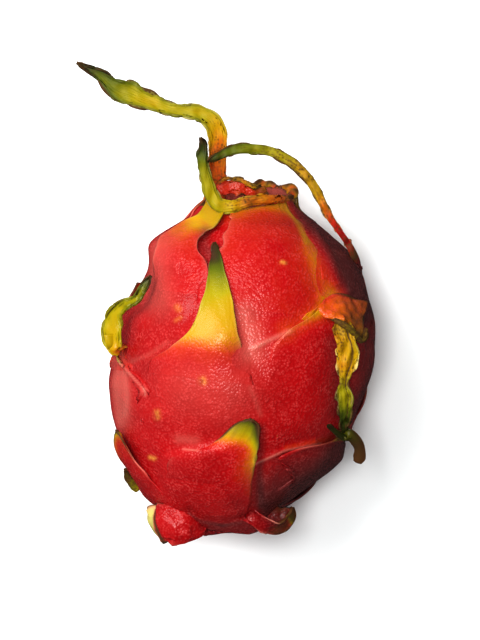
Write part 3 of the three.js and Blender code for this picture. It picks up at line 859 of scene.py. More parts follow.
    def relief(self, azimuth: np.ndarray, along: np.ndarray) -> np.ndarray:
        """How far the skin stands off the plain body.

        Args:
            azimuth: Azimuth of each place, in radians.
            along: Distance along of each place.

        Returns:
            The height at each place.
        """
        radius = self.plain_radius(along)
        rim = self.rim_along(azimuth)
        near_rim = (along - rim + self.rim_smooth) / self.rim_smooth
        ends = ease(0, self.stem_smooth, along) * (1 - ease(0, 1, near_rim))
        height = np.zeros(np.broadcast(azimuth, along).shape)
        for part in self.swellings:
            middle = np.interp(along, part.along, part.azimuth)
            half = np.interp(along, part.along, part.half)
            away = np.angle(np.exp(1j * (azimuth - middle)))
            side = abs(away * radius) / (half * self.swelling_spread + 1)
            below = ease(-part.reach, -self.swelling_start * part.reach, along - part.crest)
            end = part.crest + self.swelling_end * (part.tip - part.crest)
            above = 1 - ease(part.crest, end, along)
            dome = np.clip(1 - side * side, 0, None) ** self.swelling_power
            height += part.swell * dome * below * above
        for rise in self.uneven:
            away = np.angle(np.exp(1j * (azimuth - math.radians(rise.azimuth))))
            side = away / math.radians(rise.spread_around)
            height += rise.height * np.exp(-(side**2) - ((along - rise.along) / rise.spread_along) ** 2)
        bare = self.place(radius * np.sin(azimuth), along, radius * np.cos(azimuth))
        height += self.lump_height * self.lumps(bare)
        upper = ease(*self.creased_facing, np.cos(azimuth))
        for crease in CREASES:
            near = along_line(crease.points, bare[..., 0], bare[..., 1])
            height -= crease.depth * np.exp(-near / crease.width**2) * upper
        return height * ends

    def skin(self, azimuth: np.ndarray, along: np.ndarray, lift: np.ndarray) -> Points:
        """Points of the skin, or above it.

        Args:
            azimuth: Azimuth of each point, in radians.
            along: Distance along of each point.
            lift: Height above the skin.

        Returns:
            One point per place.
        """
        radius = self.plain_radius(along) + self.relief(azimuth, along) + lift
        return self.place(radius * np.sin(azimuth), along, radius * np.cos(azimuth) * self.height_share)


class Channel(Enum):
    """What a painted mark changes in the peel's colour."""

    TONE = "tone"
    # Pale streaks, margins and cut faces of the peel, together with painted highlights and sheen
    PALE_AND_HIGHLIGHT = "pale"
    DRY = "dry"
    SHADE = "shade"
    SCAR = "scar"


@dataclass(frozen=True)
class Mark:
    """A soft mark on the skin along a line seen from above."""

    points: Line
    width: float
    amount: float


PAINTED: dict[Channel, tuple[Mark, ...]] = {
    Channel.SHADE: (
        Mark(points=((44, 16), (47.5, 0), (48.5, -14), (47, -26), (43.5, -36)), width=5.0, amount=0.8),
        Mark(
            points=((22.5, 37), (26.5, 31), (29.5, 26.5), (35.5, 18.5), (41, 9), (44, -1)), width=4.2,
            amount=0.82,
        ),
        Mark(points=((29, 34), (35.5, 27), (41, 18)), width=4.0, amount=0.5),
        Mark(points=((14, -60), (22, -58), (30, -54), (38, -48)), width=6.0, amount=0.68),
        Mark(points=((16, -69), (24, -66), (32, -58), (39, -48)), width=4.0, amount=0.55),
        Mark(points=((11.5, -41), (11.4, -50), (11.4, -58), (11.5, -66)), width=1.4, amount=0.35),
        Mark(
            points=((-12, -69), (-8.7, -71.4), (-1.1, -72.8), (4.3, -71.8), (10, -69.8)), width=0.9,
            amount=0.6,
        ),
        Mark(points=((13, -67), (20, -66), (27, -61)), width=4.5, amount=0.5),
        Mark(points=((36, -12), (37, -22), (36.6, -34)), width=3.2, amount=0.5),
        Mark(points=((-10, -74.5), (2, -74.3), (12, -72.6)), width=2.4, amount=0.5),
        Mark(points=((-7, 25), (-7, 20), (-4.5, 16)), width=2.2, amount=0.5),
    ),
    Channel.TONE: (
        Mark(points=((3, 32), (11, 35), (18, 34.5)), width=5.0, amount=0.15),
        Mark(points=((28, 19), (30.5, 14), (32.5, 8), (35, 2)), width=4.4, amount=0.15),
        Mark(points=((18.8, 35), (22.8, 29), (26.6, 21.5)), width=1.2, amount=0.16),
        Mark(points=((20, -8), (26, -4.5), (32, -1), (36, 3)), width=3.4, amount=0.12),
        Mark(points=((-16, 24), (-10, 26), (-6, 29)), width=4.0, amount=0.1),
        Mark(points=((20, -47), (31, -45), (38, -44)), width=1.2, amount=0.12),
    ),
    # Pale streaks of the peel, and among them painted highlights and sheen, each noted above its mark
    Channel.PALE_AND_HIGHLIGHT: (
        Mark(points=((-22, 22), (-24, 12), (-22, 2)), width=6.0, amount=0.16),
        Mark(points=((20.9, -8.5), (14.2, -11.5), (9, -14)), width=0.8, amount=0.35),
        Mark(points=((8, -27), (10, -32), (11.5, -36)), width=0.8, amount=0.1),
        # Painted highlight: a light line along the ridge low on the left of the body
        Mark(
            points=((-36, -18.2), (-32, -22.3), (-28, -26.7), (-25.8, -28.2)), width=0.45, amount=0.35,
        ),
        # Painted sheen: this mark and the next are light streaks along the lit left edge of the body
        Mark(points=((-37.5, -19), (-36.5, -28), (-36, -38)), width=4.0, amount=0.3),
        Mark(points=((-33.5, -22), (-32.6, -30), (-33.2, -36)), width=1.2, amount=0.14),
        Mark(points=((-27, -27.5), (-26.6, -29.5)), width=0.5, amount=0.4),
        Mark(points=((-15.5, -44), (-10, -44.4)), width=1.7, amount=0.16),
        Mark(points=((-14, -47.3), (-9, -47.7)), width=0.35, amount=0.4),
        Mark(points=((9.7, -52.2), (19.7, -47.8), (31.3, -45.7)), width=0.4, amount=0.5),
        # Painted highlight: the broad pool of light on the top of the body, right of front_centre
        Mark(points=((5.5, -3), (8, -10), (8.5, -15)), width=4.4, amount=0.27),
        Mark(points=((-12, -26), (0, -28)), width=11.0, amount=0.1),
        Mark(points=((-19, -12), (-26, -16.5), (-31, -18.5)), width=0.8, amount=0.1),
        Mark(points=((27, -58), (33, -52)), width=3.5, amount=0.06),
    ),
    Channel.SCAR: (
        Mark(points=((-7.7, -24.5), (-7.5, -25.2)), width=1.0, amount=0.9),
        Mark(points=((-22.7, -35.2), (-22.5, -37)), width=0.9, amount=0.95),
        Mark(points=((-25, -50.2), (-23.6, -50.6)), width=0.7, amount=0.8),
        Mark(points=((18.4, 14.3), (19.8, 13.9)), width=0.55, amount=0.95),
        Mark(points=((-16, -0.5), (-15.4, -1.4)), width=1.0, amount=0.35),
        Mark(points=((-16.4, -5), (-14.8, -4)), width=0.7, amount=0.3),
    ),
    Channel.DRY: (
        Mark(points=((-38.6, -20), (-38.9, -30), (-38.4, -41)), width=0.6, amount=0.6),
    ),
}


@dataclass(frozen=True)
class Crease:
    """A groove, or with a negative depth a ridge, of the skin along a line seen from above."""

    points: Line
    width: float
    depth: float


CREASES: tuple[Crease, ...] = (
    Crease(
        points=((-12, -68), (-8.7, -70.8), (-1.1, -72), (4.3, -71), (10, -69.2)), width=1.2, depth=2.4,
    ),
    Crease(points=((-9, -74.2), (0, -74.4), (9, -72.6)), width=0.6, depth=0.8),
    Crease(points=((-8, -76), (1, -75.8), (8, -74.4)), width=0.5, depth=0.7),
    Crease(points=((-7, 25), (-7, 20), (-4.5, 16)), width=2.2, depth=1.3),
    Crease(points=((9.7, -52.2), (19.7, -47.8), (30, -45.6)), width=1.1, depth=-0.8),
    Crease(points=((20.9, -8.5), (14.2, -11.2), (9, -14)), width=0.9, depth=-0.45),
    Crease(points=((-36, -18.2), (-32, -22.3), (-28, -26.7), (-25.8, -28.2)), width=0.8, depth=-0.6),
    Crease(points=((12, -41), (12.6, -52), (12, -64)), width=1.8, depth=0.7),
    Crease(points=((21, 34), (26.3, 26.5), (30.7, 18.5), (34.7, 7.8)), width=1.5, depth=-0.7),
    Crease(points=((30, 3), (34, 2), (38, 4.6)), width=1.2, depth=-0.6),
    Crease(points=((-24, 20), (-20, 12), (-21, 4)), width=3.0, depth=-0.5),
)


def along_line(points: Line, x: np.ndarray, y: np.ndarray) -> np.ndarray:
    """Squared distance to a line seen from above.

    Args:
        points: The line's corners.
        x: Places to the right.
        y: Places towards the crown.

    Returns:
        The squared distance of each place to the nearest stretch.
    """
    nearest = np.full(np.shape(x), np.inf)
    for (x0, y0), (x1, y1) in zip(points, points[1:]):
        dx, dy = x1 - x0, y1 - y0
        t = np.clip(((x - x0) * dx + (y - y0) * dy) / max(dx * dx + dy * dy, 1e-9), 0, 1)
        nearest = np.minimum(nearest, (x - x0 - t * dx) ** 2 + (y - y0 - t * dy) ** 2)
    return nearest


def painted(points: Points, facing: np.ndarray) -> Marks:
    """The painted marks at points. Only the shade reaches below the line where the body is widest.

    Args:
        points: Points in millimetres.
        facing: How far each point faces up, from -1 to 1.

    Returns:
        The marks' amounts by channel.
    """
    values = {channel.value: np.zeros(points.shape[:-1]) for channel in Channel}
    upper, lower = ease(0.0, 0.35, facing), ease(-0.85, -0.4, facing)
    for channel, marks in PAINTED.items():
        seen = lower if channel is Channel.SHADE else upper
        for mark in marks:
            near = along_line(mark.points, points[..., 0], points[..., 1])
            values[channel.value] += mark.amount * np.exp(-near / mark.width**2) * seen
    return values


def band_faces(lines: int, count: int) -> list:
    """The four-cornered faces between closed rings of points.

    Args:
        lines: How many rings there are.
        count: How many points each ring has.

    Returns:
        Four corner indices per face.
    """
    index = np.arange(lines * count).reshape(lines, count)
    following = np.roll(index, -1, axis=1)
    corners = np.stack([index[:-1], following[:-1], following[1:], index[1:]], -1)
    return corners.reshape(-1, 4).tolist()


def plate(name: str, rings: Points, marks: Marks, sheet: Points) -> bpy.types.Object:
    """A closed sheet made of rings, each with its outer face first and its inner face back.

    Args:
        name: The object's name.
        rings: Points as ring, place on the ring, 3, in millimetres.
        marks: Values per point for the material, by channel.
        sheet: Places on the flattened sheet per point, for grain that follows it.

    Returns:
        The new object.
    """
    lines, count = rings.shape[:2]
    faces = band_faces(lines, count)
    for start, flipped in ((0, True), ((lines - 1) * count, False)):
        for j in range(count // 2 - 1):
            face = [start + j, start + j + 1, start + count - 2 - j, start + count - 1 - j]
            faces.append(face[::-1] if flipped else face)
    return mesh_object(name, rings.reshape(-1, 3), faces, marks, sheet)


def mesh_object(name: str, points: Points, faces: list, marks: Marks, sheet: Points) -> bpy.types.Object:
    """Makes a smooth-shaded object with the values that its material reads.

    Args:
        name: The object's name.
        points: Points in millimetres.
        faces: Corner indices of each face.
        marks: Values per point for the material, by channel.
        sheet: Places on the flattened sheet per point.

    Returns:
        The new object, linked to the scene.
    """
    mesh = bpy.data.meshes.new(name)
    settled = points.copy()
    settled[:, 2] = np.maximum(settled[:, 2], 0.0)
    mesh.from_pydata((settled * MM).tolist(), [], faces)
    mesh.polygons.foreach_set("use_smooth", np.ones(len(mesh.polygons), bool))
    for channel in Channel:
        layer = mesh.attributes.new(channel.value, "FLOAT", "POINT")
        values = np.clip(marks.get(channel.value, np.zeros(len(points))), 0, 1)
        layer.data.foreach_set("value", values.reshape(-1).astype(np.float32))
    flat = mesh.attributes.new(SHEET, "FLOAT_VECTOR", "POINT")
    flat.data.foreach_set("vector", (sheet.reshape(-1, 3) * MM).reshape(-1).astype(np.float32))
    mesh.update()
    thing = bpy.data.objects.new(name, mesh)
    bpy.context.scene.collection.objects.link(thing)
    return thing


@dataclass
class SheetRows:
    """Close-set rows of a scale, each value with one entry per row.

    Attributes:
        at: Length along the middle, from the root.
        share: Place between the scale's own rows, from 0 at the root to 1 at the tip.
        half: Half the width.
        grip: 1 where the row keeps to the skin, 0 where it is free of it.
        lift: Height above the skin.
        middle: The row's middle.
        skin_out: Direction off the skin.
        skin_across: Direction across the scale, level with the skin.
        free_out: Direction off the sheet where it is free.
        free_across: Direction across the sheet where it is free.
        out: Direction off the sheet, wherever it is.
    """

    at: np.ndarray
    share: np.ndarray
    half: np.ndarray
    grip: np.ndarray
    lift: np.ndarray
    middle: Points
    skin_out: Points
    skin_across: Points
    free_out: Points
    free_across: Points
    out: Points


@dataclass
class ScaleSheet:
    """Builds one scale as a thin closed sheet.

    Places across a row run from -1 at its left margin to 1 at its right one.
    """

    form: BodyForm
    scale: Scale
    step_along: float = 0.6
    least_steps: int = 12
    columns: int = 28
    columns_per_half: float = 2
    margin_thickness: float = 0.45
    full_thickness_half: float = 1.5
    root_depth: float = 0.55
    pointed_half: float = 0.7
    point_length: float = 2.0
    point_narrowing: float = 0.8
    freeing: float = 0.15
    frill_wavelength: float = 7
    frill_narrowing: float = 0.25
    wrinkle_wavelength: float = 3.4
    groove_place: float = -0.35
    groove_width: float = 0.24
    groove_dry_width: float = 0.1
    groove_dry: float = 0.4
    flared_lift: tuple[float, float] = (0.0, 1.2)
    raised_share: tuple[float, float] = (0.03, 0.15)
    loose_lift: tuple[float, float] = (0.2, 1.0)
    fluttering_share: tuple[float, float] = (0.2, 0.7)
    tone_margin_power: float = 2.5
    tone_margin_share: tuple[float, float] = (0.1, 0.4)
    dry_margin_power: float = 14
    dry_margin_share: tuple[float, float] = (0.35, 0.6)
    pale_margin_power: float = 18
    pale_margin_start: tuple[float, float] = (0.2, 0.4)
    pale_margin_end: tuple[float, float] = (0.75, 0.95)
    cut_share: tuple[float, float] = (0.79, 0.85)
    leafy_tone: tuple[float, float] = (0.42, 0.6)
    warmest_mark: float = 0.53

    def build(self) -> bpy.types.Object:
        """Makes the scale's mesh with its colour values.

        Returns:
            The scale's object.
        """
        rows = self._rows()
        widest = max(row.half for row in self.scale.rows)
        u = np.linspace(-1, 1, max(self.columns, round(self.columns_per_half * widest)) + 1)
        outer = self._outer_face(rows, u)
        normal = unit(np.cross(np.gradient(outer, axis=1), np.gradient(outer, axis=0)))
        tip = np.minimum(1.0, rows.half / self.full_thickness_half)[:, None]
        crown = (self.scale.thick - self.margin_thickness) * (1 - u * u)[None, :] * tip
        inner = outer - normal * (self.margin_thickness + crown)[..., None]
        rings = np.concatenate([outer, inner[:, ::-1]], axis=1)
        marks, sheet = self._paint(rows, u, outer)
        return plate("scale_" + self.scale.name, rings, marks, sheet)

    def _centre(self, row: Row, rise: float) -> Points:
        """The middle of one of the scale's own rows.

        Args:
            row: The row.
            rise: Its height above the skin, if it lies on the skin.

        Returns:
            One point.
        """
        if row.z is not None:
            return np.array([row.x, row.y, row.z], float)
        azimuth, along = self.form.settle(row, float(rise))
        return self.form.skin(np.array(azimuth), np.array(along), rise)

    def _rows(self) -> SheetRows:
        """Sets close rows between the scale's own, each with its middle and directions.

        Returns:
            The close-set rows.
        """
        scale, form, own = self.scale, self.form, self.scale.rows
        share = np.arange(len(own)) / (len(own) - 1)
        risen = np.clip(share / scale.settled, 0, 1)
        lift = -self.root_depth * (1 - risen) ** 3 + scale.lift * ease(0, 1, risen) ** 1.4
        grip = np.array([1.0 if row.z is None else 0.0 for row in own])
        centres = np.array([self._centre(row, rise) for row, rise in zip(own, lift)])
        knots = np.concatenate([[0], np.cumsum(np.linalg.norm(np.diff(centres, axis=0), axis=1))])
        length = knots[-1]
        at = np.linspace(0, length, max(self.least_steps, int(length / self.step_along)))
        middle = through(knots, centres, at)
        values = np.stack([[row.half for row in own], [row.turn for row in own], share, grip, lift], 1)
        half, turn, share, grip, lift = through(knots, values, at, held=True).T
        if own[-1].half < self.pointed_half:
            half = half * (1 - self.point_narrowing * ease(length - self.point_length, length, at))
        run = unit(np.gradient(middle, axis=0))
        _, _, azimuth = form.unplace(middle)
        skin_out = form.direction(np.sin(azimuth), np.cos(azimuth))
        skin_across = turned(form.direction(np.cos(azimuth), -np.sin(azimuth)), skin_out, np.radians(turn))
        free_across = turned(unit(np.cross(run, np.array([0.0, 0.0, 1.0]))), run, np.radians(turn))
        free_out = unit(np.cross(free_across, run))
        return SheetRows(
            at=at, share=share, half=half, grip=grip, lift=lift, middle=middle, skin_out=skin_out,
            skin_across=skin_across, free_out=free_out, free_across=free_across,
            out=unit(skin_out * grip[:, None] + free_out * (1 - grip[:, None])),
        )

    @staticmethod
    def _bowed(
        middle: Points, out: Points, across: Points, half: np.ndarray, arch: np.ndarray, u: np.ndarray
    ) -> Points:
        """Rows bent to arcs.

        Args:
            middle: The rows' middles.
            out: Directions off the rows.
            across: Directions across the rows.
            half: Half the width at each place.
            arch: How far each half of a row turns, in radians.
            u: Places across.

        Returns:
            Points as row, column, 3.
        """
        arch = np.where(abs(arch) < LEAST_ARCH, LEAST_ARCH, arch)
        sideways = np.sin(arch * u) / arch * half
        drop = (1 - np.cos(arch * u)) / arch * half
        return middle + across[:, None] * sideways[..., None] - out[:, None] * drop[..., None]

    def _lift(self, rows: SheetRows, u: np.ndarray) -> np.ndarray:
        """How far the outer face stands off the skin, with its risen or sunk margins.

        Args:
            rows: The close-set rows.
            u: Places across.

        Returns:
            The lift by row and column.
        """
        scale = self.scale
        left = scale.flare if scale.left_flare is None else scale.left_flare
        flare = np.where(u < 0, left, scale.flare)
        sunk = 1 - ease(scale.freed, scale.freed + self.freeing, rows.share)
        flare = np.where(flare < 0, flare * sunk[:, None], flare)
        bowing = np.where(flare < 0, abs(u) ** 1.8, abs(u) ** 3)
        lift = rows.lift[:, None] + flare * bowing * ease(*self.flared_lift, rows.lift)[:, None]
        raised = scale.right_raised * np.maximum(u, 0) ** 3
        return lift + raised * ease(*self.raised_share, rows.share)[:, None]

    def _outer_face(self, rows: SheetRows, u: np.ndarray) -> Points:
        """Points of the outer face.

        Args:
            rows: The close-set rows.
            u: Places across.

        Returns:
            Points as row, column, 3.
        """
        scale = self.scale
        middle = rows.middle[:, None, :]
        ripple = Ripple(seed=len(scale.name) * 7 + 1, wavelength=self.frill_wavelength)
        wave = ripple(middle + (u * 40)[None, :, None] * np.array([0.3, 0.1, 0.9]))
        half = rows.half[:, None]
        half = half * (1 + self.frill_narrowing * scale.frill * wave * abs(u) ** 2)
        arch = np.full_like(half, math.radians(scale.bend))
        free = self._bowed(middle, rows.free_out, rows.free_across, half, arch, u)
        groove = np.exp(-((u - self.groove_place) / self.groove_width) ** 2)
        trough = scale.fold * groove * np.minimum(1.0, half / 3)
        free = free - rows.free_out[:, None] * trough[..., None]
        arch = half / self.form.greatest_radius
        held = self._bowed(middle, rows.skin_out, rows.skin_across, half, arch, u)
        _, along, azimuth = self.form.unplace(held)
        held = self.form.skin(azimuth, along, self._lift(rows, u))
        grip = rows.grip[:, None, None]
        face = held * grip + free * (1 - grip)
        loose = 1 - rows.grip[:, None] * (1 - ease(*self.loose_lift, rows.lift))[:, None]
        crumple = Ripple(seed=len(scale.name) + 40, wavelength=self.wrinkle_wavelength, waves=24)
        dents = scale.wrinkle * crumple(face * np.array([1.0, 0.6, 1.0])) * (1 - abs(u) ** 6) * loose
        face = face + rows.out[:, None] * dents[..., None]
        flutter = scale.frill * wave * abs(u) ** 3 * ease(*self.fluttering_share, rows.share)[:, None]
        return face + rows.out[:, None] * flutter[..., None]

    def _paint(self, rows: SheetRows, u: np.ndarray, face: Points) -> tuple[Marks, Points]:
        """Colour values and flattened places of the outer face and then the inner one.

        Args:
            rows: The close-set rows.
            u: Places across.
            face: Points of the outer face.

        Returns:
            The values by channel, and the flattened places.
        """
        scale = self.scale
        share = rows.share[:, None]
        tone = np.interp(share, *zip(*scale.tone))
        margin = np.where(u < 0, scale.left_tone, scale.right_tone) * abs(u) ** self.tone_margin_power
        tone = tone + margin * ease(*self.tone_margin_share, share)
        dry_edge = scale.dry_margin * abs(u) ** self.dry_margin_power
        dry = np.interp(share, *zip(*scale.dry)) + dry_edge * ease(*self.dry_margin_share, share)
        groove = np.exp(-(((u - self.groove_place) / self.groove_dry_width) ** 2))
        dry = dry + self.groove_dry * (scale.fold > 0) * groove
        pale = scale.pale_margin * abs(u) ** self.pale_margin_power * ease(*self.pale_margin_start, share)
        pale = pale * (1 - ease(*self.pale_margin_end, share))
        pale = pale + scale.cut * ease(*self.cut_share, share) * np.ones_like(u)
        across = u[None, :] * rows.half[:, None]
        along = np.broadcast_to(rows.at[:, None], across.shape)
        sheet = np.stack([across, along, np.zeros_like(across)], -1)
        marks = painted(face, rows.out[:, 2][:, None] * np.ones_like(across))
        marks = {name: value * rows.grip[:, None] for name, value in marks.items()}
        fresh = 1 - ease(*self.leafy_tone, tone)
        warmed = tone + marks[Channel.TONE.value] * fresh
        marks[Channel.TONE.value] = np.minimum(warmed, np.maximum(tone, self.warmest_mark))
        marks[Channel.DRY.value] += dry
        marks[Channel.PALE_AND_HIGHLIGHT.value] = marks[Channel.PALE_AND_HIGHLIGHT.value] * fresh + pale
        both = {name: np.concatenate([value, value[:, ::-1]], axis=1) for name, value in marks.items()}
        return both, np.concatenate([sheet, sheet[:, ::-1]], axis=1)


def profile(stops: Line, count: int) -> tuple[np.ndarray, np.ndarray, np.ndarray]:
    """Close-set places along evenly spaced pairs of values.

    Args:
        stops: The pairs.
        count: How many places there are to be.

    Returns:
        The places, from 0 to 1, and both values at each of them.
    """
    pairs = np.array(stops, float)
    at = np.linspace(0, 1, count)
    knots = np.linspace(0, 1, len(pairs))
    return at, np.interp(at, knots, pairs[:, 0]), np.interp(at, knots, pairs[:, 1])


@dataclass
class BodySkin:
    """Builds the fleshy body as one fine closed skin, with its hollow crown and its stem end.

    The stem end and the crown's hollow are lines of pairs from the middle outwards or inwards: where
    along the axis (in the hollow, measured from the rim) and how far from it.
    """

    form: BodyForm
    sides: int = 360
    bands: int = 236
    stem_bands: int = 14
    hollow_bands: int = 22
    stem_dish: Line = ((1.2, 0), (0.9, 3.2), (-0.6, 4.4), (1.6, 6.6), (0.4, 10.5))
    crown_hollow: Line = ((0.4, 13.2), (-2.5, 11.2), (-9, 9.2), (-12.5, 5.5), (-11.5, 0))
    hollow_level_radius: float = 6
    hollow_roughness: float = 0.8
    rim_radius: float = 14
    rim_width: float = 1.6
    sheet_radius: float = 38.0
    plain_tone: float = 0.25
    warmest: float = 0.49
    crust_height: float = 0.3
    crust_width: float = 1.3
    crust_radius: float = 18
    crust_dry: float = 0.9
    hollow_wall: tuple[float, float] = (12.6, 13.4)
    hollow_pale: float = 0.28
    hollow_tone: float = 0.08
    stem_end_along: float = 20
    stem_end_radius: tuple[float, float] = (4, 12)
    stem_end_dry: float = 0.6
    underside_facing: tuple[float, float] = (0.2, -0.9)
    underside_shade: float = 0.35

    def build(self) -> bpy.types.Object:
        """Makes the body's mesh with its colour values.

        Returns:
            The body's object.
        """
        form = self.form
        azimuth = np.linspace(-math.pi, math.pi, self.sides, endpoint=False)[None, :]
        rim = form.rim_along(azimuth)
        _, stem_along, stem_radius = profile(self.stem_dish, self.stem_bands)
        level = np.linspace(0, 1, self.bands)[:, None]
        wall_along = (0.5 * (0.5 - 0.5 * np.cos(math.pi * level)) + 0.5 * level) * rim
        wall_radius = form.plain_radius(wall_along) + form.relief(azimuth, wall_along)
        hollow_along, hollow_radius = self._hollow(azimuth, rim)
        ones = np.ones_like(azimuth)
        along = np.concatenate([stem_along[:, None] * ones, wall_along, hollow_along])
        radius = np.concatenate([stem_radius[:, None] * ones, wall_radius, hollow_radius * ones])
        azimuth = np.broadcast_to(azimuth, along.shape)
        points = form.place(radius * np.sin(azimuth), along, radius * np.cos(azimuth) * form.height_share)
        points = self._crusted(points, azimuth, along, rim)
        sheet = np.stack([azimuth * self.sheet_radius, along, radius], -1)
        marks = self._paint(points, azimuth, along, radius, rim)
        return mesh_object("peel_body", points.reshape(-1, 3), band_faces(*along.shape), marks, sheet)

    def _hollow(self, azimuth: np.ndarray, rim: np.ndarray) -> tuple[np.ndarray, np.ndarray]:
        """The wall and the floor of the hollow inside the crown's rim.

        Args:
            azimuth: Azimuth of each side.
            rim: Where the rim is at each azimuth.

        Returns:
            Distance along by band and side, and radius by band.
        """
        form = self.form
        at, down, inside = profile(self.crown_hollow, self.hollow_bands)
        radius = inside[:, None]
        slanted = np.clip(inside / self.hollow_level_radius, 0, 1)[:, None]
        along = (rim - form.rim_along_middle) * slanted + form.rim_along_middle + down[:, None]
        ring = form.place(radius * np.sin(azimuth), along, radius * np.cos(azimuth))
        rough = self.hollow_roughness * Ripple(seed=23, wavelength=5.0)(ring)
        return along + rough * ease(0, 0.25, at)[:, None], radius

    def _crusted(self, points: Points, azimuth: np.ndarray, along: np.ndarray, rim: np.ndarray) -> Points:
        """The points with the rim made ragged and dry.

        Args:
            points: The smooth body.
            azimuth: Azimuth of each point.
            along: Distance along of each point.
            rim: Where the rim is at each azimuth.

        Returns:
            The points with a broken rim.
        """
        ripple = Ripple(seed=21, wavelength=8.0)
        fine = Ripple(seed=22, wavelength=1.9)
        near = np.exp(-(((along - rim) / self.rim_width) ** 2))
        beside, above = self.rim_radius * np.sin(azimuth), self.rim_radius * np.cos(azimuth)
        ring = self.form.place(beside, rim * np.ones_like(azimuth), above)
        shift = (0.35 * ripple(ring) + 0.15 * fine(ring)) * near
        return points + shift[..., None] * np.array([self.form.lean_sin, self.form.lean_cos, 0.0])

    def _paint(
        self, points: Points, azimuth: np.ndarray, along: np.ndarray, radius: np.ndarray, rim: np.ndarray
    ) -> Marks:
        """Colour values of the body.

        Args:
            points: The body's points.
            azimuth: Azimuth of each point.
            along: Distance along of each point.
            radius: Distance of each point from the axis.
            rim: Where the rim is at each azimuth.

        Returns:
            The values by channel.
        """
        values = painted(points, np.cos(azimuth))
        values[Channel.TONE.value] = np.minimum(values[Channel.TONE.value] + self.plain_tone, self.warmest)
        crust = np.exp(-(((along - rim - self.crust_height) / self.crust_width) ** 2))
        in_hollow = (along > self.form.widest_along) * (1 - ease(*self.hollow_wall, radius))
        stem_end = self.stem_end_dry * (1 - ease(*self.stem_end_radius, radius))
        values[Channel.DRY.value] += self.crust_dry * (crust * (radius < self.crust_radius))
        values[Channel.PALE_AND_HIGHLIGHT.value] += self.hollow_pale * in_hollow
        values[Channel.TONE.value] += self.hollow_tone * in_hollow
        values[Channel.DRY.value] += np.where(along < self.stem_end_along, stem_end, 0)
        under = ease(*self.underside_facing, np.cos(azimuth) + 0 * along)
        values[Channel.SHADE.value] += self.underside_shade * under
        return values


@dataclass
class CrownCrust:
    """The dried, broken flesh round the rim of the crown, as a ragged bead."""

    form: BodyForm
    radius: float = 13.4
    base_radius: float = 14
    thickness: float = 1.05
    broad_swing: float = 0.55
    sharp_swing: float = 0.32
    radius_swing: float = 0.7
    below_rim: float = 0.2
    waver: float = 0.55
    tallness: float = 1.1
    sides: int = 420
    around: int = 18

    def build(self) -> bpy.types.Object:
        """Makes the bead's mesh with its colour values.

        Returns:
            The crust's object.
        """
        form = self.form
        azimuth = np.linspace(-math.pi, math.pi, self.sides, endpoint=False)[:, None]
        turn = np.linspace(0, 2 * math.pi, self.around, endpoint=False)[None, :]
        rim = form.rim_along(azimuth)
        base = form.place(self.base_radius * np.sin(azimuth), rim, self.base_radius * np.cos(azimuth))
        broad = Ripple(seed=31, wavelength=9.0)(base)
        wound = base + turn[..., None] * np.array([0.9, 0.6, 0.8])
        sharp = Ripple(seed=32, wavelength=3.6, waves=30)(wound)
        size = self.thickness * (1 + self.broad_swing * broad + self.sharp_swing * sharp)
        radius = self.radius + self.radius_swing * broad + size * np.cos(turn)
        wavering = self.waver * Ripple(seed=33, wavelength=11)(base)
        along = rim - self.below_rim + wavering + size * self.tallness * np.sin(turn)
        points = form.place(radius * np.sin(azimuth), along, radius * np.cos(azimuth) * form.height_share)
        index = np.arange(self.sides * self.around).reshape(self.sides, self.around)
        beside, above = np.roll(index, -1, axis=0), np.roll(index, -1, axis=1)
        across = np.roll(beside, -1, axis=1)
        faces = np.stack([index, above, across, beside], -1).reshape(-1, 4).tolist()
        high = ease(-0.4, 0.9, np.sin(turn)) * np.ones_like(azimuth)
        marks = {
            Channel.TONE.value: 0.38 + 0.12 * ease(-0.8, 0.8, broad) + 0.05 * sharp,
            Channel.DRY.value: 0.16 + 0.32 * high + 0.16 * sharp,
        }
        sheet = np.stack([azimuth * self.base_radius + 0 * turn, turn * size, 0 * turn + 0 * azimuth], -1)
        return mesh_object("crown_crust", points.reshape(-1, 3), faces, marks, sheet)


